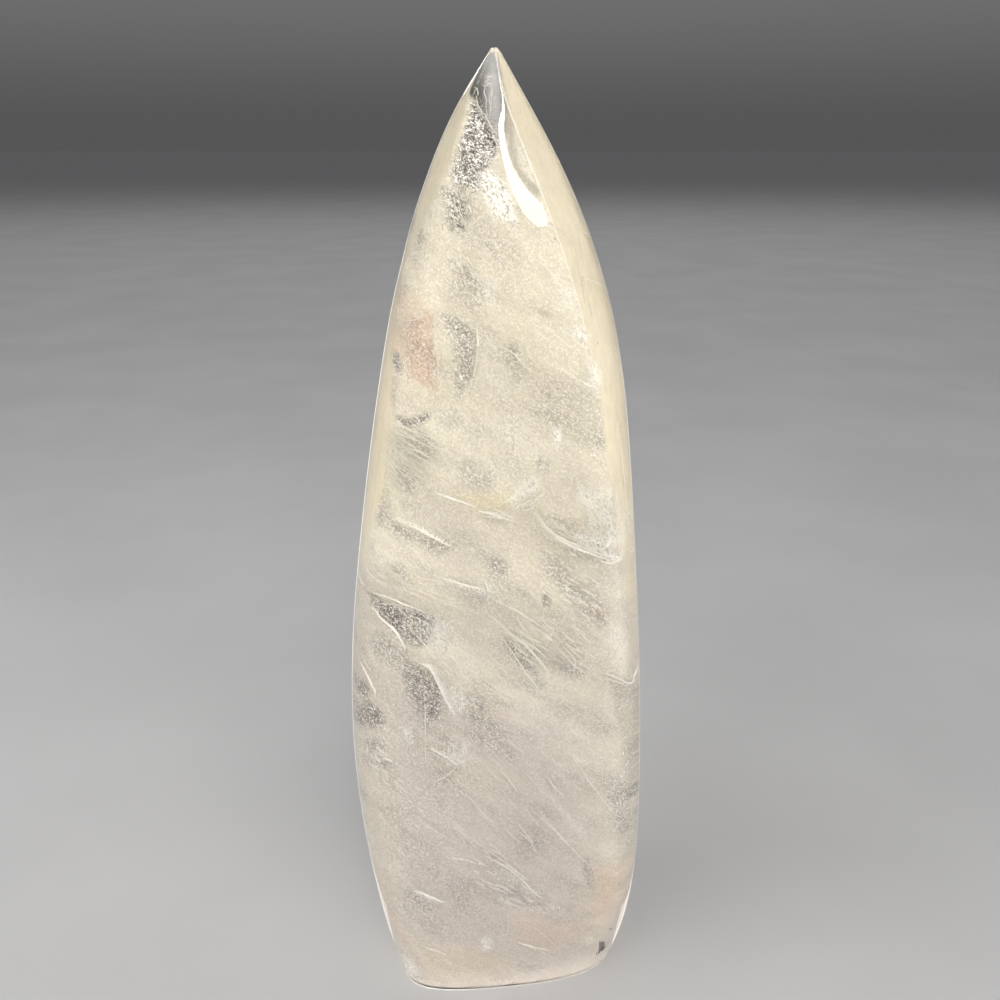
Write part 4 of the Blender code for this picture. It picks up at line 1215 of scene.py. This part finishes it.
def veil_strip(name, facing, line, width, side, density, depth, rng):
    """A thin crinkled sheet under the surface, dense along its edge and dissolving to one side or both."""
    flat = [Vector((x, z)) for x, z in line]
    length = sum((b - a).length for a, b in zip(flat, flat[1:]))
    steps = max(6, min(60, round(length / 0.8)))
    rows = 2 if side == 0 else 6
    piece = new_grid(name, steps, rows)
    mesh = piece.data
    middle = smooth_line([(x, z, 0.0) for x, z in line], steps)
    seed = Vector((rng.uniform(0, 50), rng.uniform(0, 50), 0.0))
    bodies = np.zeros(len(mesh.vertices))
    for index, vertex in enumerate(mesh.vertices):
        column = round((vertex.co.x + 0.5) * (steps - 1))
        row = round((vertex.co.y + 0.5) * (rows - 1))
        before, after = middle[max(column - 1, 0)], middle[min(column + 1, steps - 1)]
        tangent = (after - before).normalized()
        normal = Vector((-tangent.y, tangent.x, 0.0))
        if normal.y < 0:
            normal = -normal
        ends = math.sin(math.pi * min(1.0, max(0.0, (column + 0.6) / (steps + 0.2)))) ** 0.6
        ragged = 0.65 + 0.7 * (noise.noise(seed + middle[column] * 0.45) * 0.5 + 0.5)
        share = row / (rows - 1)
        if side == 0:
            offset, sink, fade = (share - 0.5) * width * ends * ragged, 0.8 * share, 1.0
        else:
            offset = -side * share * width * ends * (0.5 + ragged)
            sink, fade = 2.0 * share, (1.0 - share) ** 0.8
        place = middle[column] + normal * offset
        wander = noise.noise_vector(seed * 3 + place * 0.22) * 0.25
        under = depth + sink + wander.z + 0.3 * noise.noise(place * 0.9 + seed)
        spot, _ = STONE.under(facing, (place.x + wander.x) * MM, (place.y + wander.y) * MM, under * MM)
        if spot is None:
            bpy.data.objects.remove(piece)
            return None
        vertex.co = spot
        bodies[index] = density * fade * (0.75 + 0.25 * ends)
    store(mesh, "veil_body", bodies)
    return piece


def ridge_ribbons():
    """Fine bright ribbons just under the skin along its crisp ridges and round the rim of its foot: painted
    highlights where the ridges and the foot's edge catch the light.
    """
    skin = bpy.data.objects["polished_skin"]
    mesh = bmesh.new()
    mesh.from_mesh(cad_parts[STONE_NODE].data)
    bmesh.ops.remove_doubles(mesh, verts=mesh.verts, dist=0.01 * MM)
    points, faces, bodies = [], [], []

    def ribbon(edge, pair_at, body):
        first = len(points)
        for vertex in edge.verts:
            points.extend(pair_at(vertex))
        faces.append((first, first + 1, first + 3, first + 2))
        bodies.extend([body] * 4)

    def across_ridge(vertex):
        ways = [e.other_vert(vertex).co - vertex.co for e in vertex.link_edges if e in crisp]
        along = sum((way if way.z > 0 else -way for way in ways), Vector()).normalized()
        _, place, normal, _ = skin.closest_point_on_mesh(vertex.co)
        side = normal.cross(along).normalized() * 0.13 * MM
        place = place - normal * 0.14 * MM
        return place - side, place + side

    def up_the_rim(vertex):
        outward = sum((f.normal for f in vertex.link_faces if f.normal.z > -0.9), Vector())
        outward = Vector((outward.x, outward.y, 0.0)).normalized()
        place = vertex.co - outward * 0.12 * MM
        return place + Vector((0, 0, 0.03 * MM)), place + Vector((0, 0, 0.6 * MM))

    crisp, rim = {}, []
    for edge in mesh.edges:
        turn = math.degrees(edge.calc_face_angle(0.0))
        low, high = sorted(v.co.z for v in edge.verts)
        if high < 0.1 * MM and turn > 60.0:
            rim.append(edge)
        elif 0.19 < low and high < 0.3435 and turn > 19.0 and high - low > 0.8 * edge.calc_length():
            middle = (edge.verts[0].co + edge.verts[1].co) / 2
            front_left = -60.0 < math.degrees(math.atan2(middle.x, -middle.y)) < -30.0
            crisp[edge] = min(1.0, 0.45 + turn / 55.0) * (0.3 if front_left else 0.95)
    for edge, body in crisp.items():
        ribbon(edge, across_ridge, body)
    for edge in rim:
        ribbon(edge, up_the_rim, 0.95)
    mesh.free()
    data = bpy.data.meshes.new("ridge ribbons")
    data.from_pydata(points, [], faces)
    store(data, "veil_body", bodies)
    return new_object("ridge ribbons", data)


class QUARTZ_OT_veils(bpy.types.Operator):
    """Veils and healed fractures laid in the clear quartz under the skin, with painted highlights along its
    ridges and round its foot
    """
    bl_idname = "quartz.veils"
    bl_label = "Veils and healed fractures"

    def execute(self, context):
        sizes, _, _ = settings()
        rng = Random(5)
        noise.seed_set(NOISE_SEED)
        deselect_all()
        strips = self.placed_veils(rng) + self.strewn_veils(rng) + self.sheaves(rng)
        # Painted highlights: bright ribbons along the ridges and round the foot join the veils.
        strips.append(ridge_ribbons())
        veils = join_pieces([strip for strip in strips if strip], "healed_fractures")
        apply_modifier(veils, "SOLIDIFY", thickness=sizes.veil_thickness, offset=0.0)
        make_active(veils)
        bpy.ops.object.shade_smooth_by_angle(angle=math.radians(50))
        hand_over(veils, veil_material())
        return {"FINISHED"}

    @staticmethod
    def placed_veils(rng):
        """The veils of the front, and a faint companion beside each longer one below the tip."""
        strips = []
        for name, line, width, side, density in VEILS:
            at_tip = name.startswith("tip")
            strips.append(veil_strip(name, FRONT, line, width, side, density, 0.7 if at_tip else 1.3, rng))
            if len(line) > 2 and not at_tip:
                shift = Vector((rng.uniform(0.6, 2.2), rng.uniform(0.8, 2.4))) * rng.choice((-1, 1))
                beside = [(x + shift.x, z + shift.y) for x, z in line[:rng.choice((2, 3))]]
                strips.append(veil_strip(name + " echo", FRONT, beside, 0.22, 0, density * 0.5, 2.4, rng))
        return strips

    @staticmethod
    def strewn_veils(rng):
        """Broad veils on the sides and the back, then fine strokes all round."""
        sizes, _, _ = settings()
        strips = []
        for number in range(sizes.back_veils + sizes.fine_strokes):
            broad = number < sizes.back_veils
            facing = rng.uniform(*(SIDES_AND_BACK if broad else ALL_ROUND))
            up = rng.uniform(10, 300)
            reach = reach_at(facing, up, inset=2.0, top=350.0)
            across = rng.uniform(-reach, reach) * 0.85
            span = min(rng.uniform(8, 46) if broad else rng.uniform(3, 17), reach * 1.3)
            slope = -math.tan(math.radians(rng.gauss(26 + 22 * max(0.0, 1 - up / 200), 9)))
            bow = rng.uniform(-0.06, 0.06) * span
            line = [(across + span * (t - 0.5), up + slope * span * (t - 0.5) + bow * (1 - (2 * t - 1) ** 2))
                    for t in BOW_SHARES]
            wide = broad and rng.random() < 0.3
            width = rng.uniform(*((1.5, 3.5) if wide else (0.2, 0.5) if broad else (0.12, 0.3)))
            strips.append(veil_strip(
                "back veil" if broad else "stroke", facing, line, width, rng.choice((-1, 1)) if wide else 0,
                rng.uniform(0.45, 1.0) if broad else rng.uniform(0.15, 0.6), rng.uniform(1.2, 3.0), rng))
        return strips

    @staticmethod
    def sheaves(rng):
        """The sheaves of fine strokes under the front."""
        strips = []
        for name, centre, half, slope, count, length, density in SHEAVES:
            for _ in range(count):
                aside, above = spot_in_ellipse(rng, half)
                middle = Vector((centre[0] + aside, centre[1] + above))
                lean, span = math.radians(rng.gauss(slope, 7)), length * rng.uniform(0.4, 1.0)
                along = Vector((math.cos(lean), math.sin(lean))) * span
                bow = Vector((-along.y, along.x)) * rng.uniform(-0.08, 0.08)
                line = [tuple(middle + along * (t - 0.5) + bow * (1 - (2 * t - 1) ** 2)) for t in BOW_SHARES]
                width, dense = rng.uniform(0.12, 0.24), min(1.0, density * rng.uniform(0.7, 1.3))
                strips.append(veil_strip(
                    name + " stroke", FRONT, line, width, 0, dense, rng.uniform(1.0, 2.2), rng))
        return strips


def flake_mesh():
    """One thin angular flake, a unit wide."""
    bpy.ops.mesh.primitive_ico_sphere_add(subdivisions=1, radius=0.5)
    flake = bpy.context.object
    open_for_editing(flake)
    bpy.ops.transform.resize(value=FLAKE_SHAPE)
    bpy.ops.object.mode_set(mode="OBJECT")
    mesh = flake.data
    bpy.data.objects.remove(flake)
    return mesh


def strew(name, spots, material):
    """Copies of the flake at the given places, sizes, turns and stretches, as one piece."""
    flake = flake_mesh()
    corners = np.array([v.co for v in flake.vertices])
    faces = np.array([p.vertices[:] for p in flake.polygons])
    points, polygons = [], []
    for number, (place, size, turn, stretch) in enumerate(spots):
        shaped = corners * (size * stretch, size, size)
        points.append(shaped @ np.array(turn.to_matrix()).T + np.array(place))
        polygons.append(faces + number * len(corners))
    data = bpy.data.meshes.new(name)
    data.from_pydata(np.concatenate(points).tolist(), [], np.concatenate(polygons).tolist())
    hand_over(new_object(name, data), material)


class QUARTZ_OT_flakes(bpy.types.Operator):
    """Crushed flakes below the tip, frost, sparkles and grit"""
    bl_idname = "quartz.flakes"
    bl_label = "Flakes and frost"

    def execute(self, context):
        sizes, _, _ = settings()
        rng = Random(23)
        deselect_all()
        spots = {"mirror": [], "white": []}

        def add(kind, facing, across, up, depth, size):
            """Sets down a flake, tilted at random, where it fits under the surface."""
            place, normal = STONE.under(facing, across * MM, up * MM, depth * MM)
            if place is None or STONE.depth(place) < 0.5 * MM:
                return
            lean = Vector((rng.gauss(0, 1), rng.gauss(0, 1), rng.gauss(0, 1))).normalized() * 0.9
            facing_out = (normal + lean).normalized()
            turn = facing_out.to_track_quat("Z", "Y")
            turn.rotate(Matrix.Rotation(rng.uniform(0, math.tau), 3, facing_out))
            spots[kind].append((place, size * MM, turn, rng.uniform(0.8, 1.9)))

        for _, kind, centre, half, turn, count, size in FLAKE_BEDS:
            angle = math.radians(turn)
            for _ in range(count):
                a, b = spot_in_ellipse(rng, half)
                across = centre[0] + a * math.cos(angle) + b * math.sin(angle)
                up = centre[1] - a * math.sin(angle) + b * math.cos(angle)
                add(kind, FRONT, across, up, rng.uniform(0.9, 2.6), size * rng.uniform(0.5, 1.5))
        for _ in range(sizes.loose_flakes):
            facing, up = rng.uniform(0, 360), rng.uniform(6, 305)
            reach = reach_at(facing, up)
            across = rng.uniform(-reach, reach)
            add("white", facing, across, up, rng.uniform(0.9, 2.8), rng.uniform(0.18, 0.5))
        strew("crushed_flakes", spots["mirror"], flake_material("crushed flakes", GLINT_COLOUR, 1.0, 0.22))
        strew("frost_flakes", spots["white"], flake_material("frost flakes", FROST_COLOUR, 0.0, 0.3))
        return {"FINISHED"}


class QUARTZ_OT_dark_chips(bpy.types.Operator):
    """Dark mineral chips low on the right"""
    bl_idname = "quartz.dark_chips"
    bl_label = "Dark chips"

    def execute(self, context):
        chips = []
        for across, up, depth, width, tall, lean in DARK_CHIPS:
            place, _ = STONE.under(FRONT, across * MM, up * MM, depth * MM)
            deselect_all()
            bpy.ops.mesh.primitive_ico_sphere_add(subdivisions=1, radius=1.0, location=(0, 0, 0))
            chip = bpy.context.object
            open_for_editing(chip)
            bpy.ops.transform.resize(
                value=[size * share * MM for size, share in zip((width, width, tall), CHIP_SHAPE)])
            bpy.ops.transform.rotate(
                value=math.radians(lean), orient_axis="Y", center_override=(0.0, 0.0, 0.0))
            bpy.ops.transform.translate(value=place)
            bpy.ops.object.mode_set(mode="OBJECT")
            add_lumps(chip, 2.0 * MM, 1.2 * MM)
            chips.append(chip)
        piece = join_pieces(chips, "dark_chips")
        hand_over(piece, flake_material("dark chip", CHIP_COLOUR, 0.0, 0.35))
        return {"FINISHED"}


class QUARTZ_OT_stage(bpy.types.Operator):
    """Pale floor, soft studio light and the camera"""
    bl_idname = "quartz.stage"
    bl_label = "Stage"

    def execute(self, context):
        _, _, stage = settings()
        deselect_all()
        self.floor(stage.floor)
        self.bent_strip_lamp("bent_strip_lamp", FRONT_STRIP, stage.strip_light)
        back = self.bent_strip_lamp("back_strip_lamp", BACK_STRIP, stage.strip_light)
        back.visible_diffuse = False
        back.data.materials[0].cycles.emission_sampling = "NONE"
        self.rim_card()
        self.surround(stage.surround)
        self.lamps()
        self.camera()
        bpy.context.scene.view_settings.view_transform = "Standard"
        bpy.context.scene.cycles.transparent_max_bounces = 24
        # Every lamp is sampled alike: the light tree strays where lamps light only some of the pieces.
        bpy.context.scene.cycles.use_light_tree = False
        return {"FINISHED"}

    @staticmethod
    def floor(colour):
        bpy.ops.mesh.primitive_plane_add(size=40.0, location=(0.0, 0.0, 0.0))
        floor = bpy.context.object
        floor.name = "floor"
        material, w, shader = new_material("floor paper", **{"Roughness": 0.9, "Specular IOR Level": 0.0})
        mottle = w.spread(w.noise(w.place(), 6.0, 3.0), 0.3, 0.7, 0.97, 1.03)
        w.feed(shader["Base Color"], w.toned(colour, mottle))
        floor.data.materials.append(material)

    @staticmethod
    def surround(colour):
        """A plain studio all round, darker just over the horizon."""
        world = bpy.data.worlds.new("studio")
        bpy.context.scene.world = world
        world.use_nodes = True
        w = Wiring(world.node_tree)
        height = w.parts(w.node("ShaderNodeTexCoord").outputs["Generated"])["Z"]
        dusk = w.spread(height, 0.0, 0.13, 0.422, 0.72)
        w.feed(world.node_tree.nodes["Background"].inputs[0], w.toned(colour, dusk))

    @staticmethod
    def lamps():
        """Soft lamps; all but the key and the overhead one light the stone alone, for an even floor."""
        stone_alone = bpy.data.collections.new("lit by the lamps for the stone alone")
        for name in ("polished_skin", "milky_heart", "outer_flecks", "healed_fractures"):
            stone_alone.objects.link(bpy.data.objects[name])
        for name, place, size, power, tint, for_stone in LAMPS:
            light = bpy.data.lights.new(name, "AREA")
            light.shape = "RECTANGLE"
            light.size, light.size_y = size
            light.energy = power
            light.color = tint
            lamp = new_object(name, light)
            lamp.location = place
            lamp.rotation_euler = (Vector(LAMPS_AIM) - Vector(place)).to_track_quat("-Z", "Y").to_euler()
            lamp.visible_camera = False
            lamp.visible_glossy = False
            if for_stone:
                lamp.light_linking.receiver_collection = stone_alone

    @staticmethod
    def camera():
        data = bpy.data.cameras.new("camera")
        data.lens, data.sensor_width = LENS, FILM_WIDTH
        camera = new_object("camera", data)
        camera.location = CAMERA_PLACE
        camera.rotation_euler = (math.radians(CAMERA_TILT), 0.0, 0.0)
        bpy.context.scene.camera = camera

    @staticmethod
    def rim_card():
        """A glowing card rising behind the stone and two wings beside its foot, seen in the polish only."""
        card = new_grid("rim_card", 2, CARD_STEPS + 1)
        for vertex in card.data.vertices:
            share = vertex.co.y + 0.5
            away = 0.05 + 2.0 * min(1.0, share / 0.6) ** 2
            rise = CARD_LIFT + 1.6 * max(0.0, (share - 0.6) / 0.4) ** 1.5
            vertex.co = (vertex.co.x * 2.0 * (0.06 + 0.34 * away), away, rise)
        wings = []
        for side in (-1, 1):
            bpy.ops.mesh.primitive_plane_add(size=1.0)
            wings.append(bpy.context.object)
            for vertex in wings[-1].data.vertices:
                across = WING_MIDDLE[0] + WING_SIZE[0] * vertex.co.x
                away = WING_MIDDLE[1] + WING_SIZE[1] * vertex.co.y
                vertex.co = (side * across, away, CARD_LIFT)
        card = join_pieces([card] + wings, "rim_card")
        material = glow_material("rim card", CARD_TINT, CARD_STRENGTH)
        # Only rays mirrored by the polish find the card, so it takes no part in the sampling of the lamps.
        material.cycles.emission_sampling = "NONE"
        card.data.materials.append(material)
        card.visible_camera = card.visible_diffuse = card.visible_transmission = card.visible_shadow = False

    @staticmethod
    def bent_strip_lamp(name, path, strength):
        """A bent strip lamp, told by its directions from the stone's shoulder and dimmer where it starts."""
        lamp = new_grid(name, STRIP_STEPS, 2)
        middle = smooth_line(path, STRIP_STEPS)
        glows = []
        for vertex in lamp.data.vertices:
            column = round((vertex.co.x + 0.5) * (STRIP_STEPS - 1))
            share = min(max((column / (STRIP_STEPS - 1) - 0.32) / 0.2, 0.0), 1.0)
            glows.append(0.46 + 0.54 * share)
            before, after = middle[max(column - 1, 0)], middle[min(column + 1, STRIP_STEPS - 1)]
            squeeze = math.cos(math.radians(middle[column].y))
            along = Vector(((after.x - before.x) * squeeze, after.y - before.y)).normalized()
            side = 1 if vertex.co.y > 0 else -1
            over = Vector((-along.y / squeeze, along.x)) * middle[column].z * 0.5 * side
            azimuth = math.radians(middle[column].x + over.x)
            rise = math.radians(middle[column].y + over.y)
            level = math.cos(rise)
            way = Vector((math.sin(azimuth) * level, -math.cos(azimuth) * level, math.sin(rise)))
            vertex.co = Vector(SHOULDER) + way * STRIP_DISTANCE
        store(lamp.data, "glow", glows)
        lamp.data.materials.append(glow_material(name, STRIP_TINT, strength, "glow"))
        lamp.visible_camera = False
        return lamp


class QUARTZ_PT_panel(bpy.types.Panel):
    """The quartz point's pieces and settings"""
    bl_idname = "QUARTZ_PT_panel"
    bl_label = "Quartz point"
    bl_space_type = "VIEW_3D"
    bl_region_type = "UI"
    bl_category = "Quartz"

    def draw(self, context):
        for group in settings():
            for name in group.__annotations__:
                self.layout.prop(group, name)
        for operator in OPERATORS:
            self.layout.operator(operator.bl_idname)


SETTINGS = {"quartz_sizes": QuartzSizes, "quartz_colours": QuartzColours, "quartz_stage": QuartzStage}
OPERATORS = (
    QUARTZ_OT_polished_skin, QUARTZ_OT_milky_layers, QUARTZ_OT_veils, QUARTZ_OT_flakes, QUARTZ_OT_dark_chips,
    QUARTZ_OT_stage,
)
CLASSES = (*SETTINGS.values(), *OPERATORS, QUARTZ_PT_panel)


def register():
    for group in CLASSES:
        bpy.utils.register_class(group)
    for name, group in SETTINGS.items():
        setattr(bpy.types.Scene, name, PointerProperty(type=group))


def unregister():
    for name in SETTINGS:
        delattr(bpy.types.Scene, name)
    for group in reversed(CLASSES):
        bpy.utils.unregister_class(group)


def main():
    register()
    bpy.ops.quartz.polished_skin()
    bpy.ops.quartz.milky_layers()
    bpy.ops.quartz.veils()
    bpy.ops.quartz.flakes()
    bpy.ops.quartz.dark_chips()
    bpy.ops.quartz.stage()


if __name__ == "__main__":
    main()
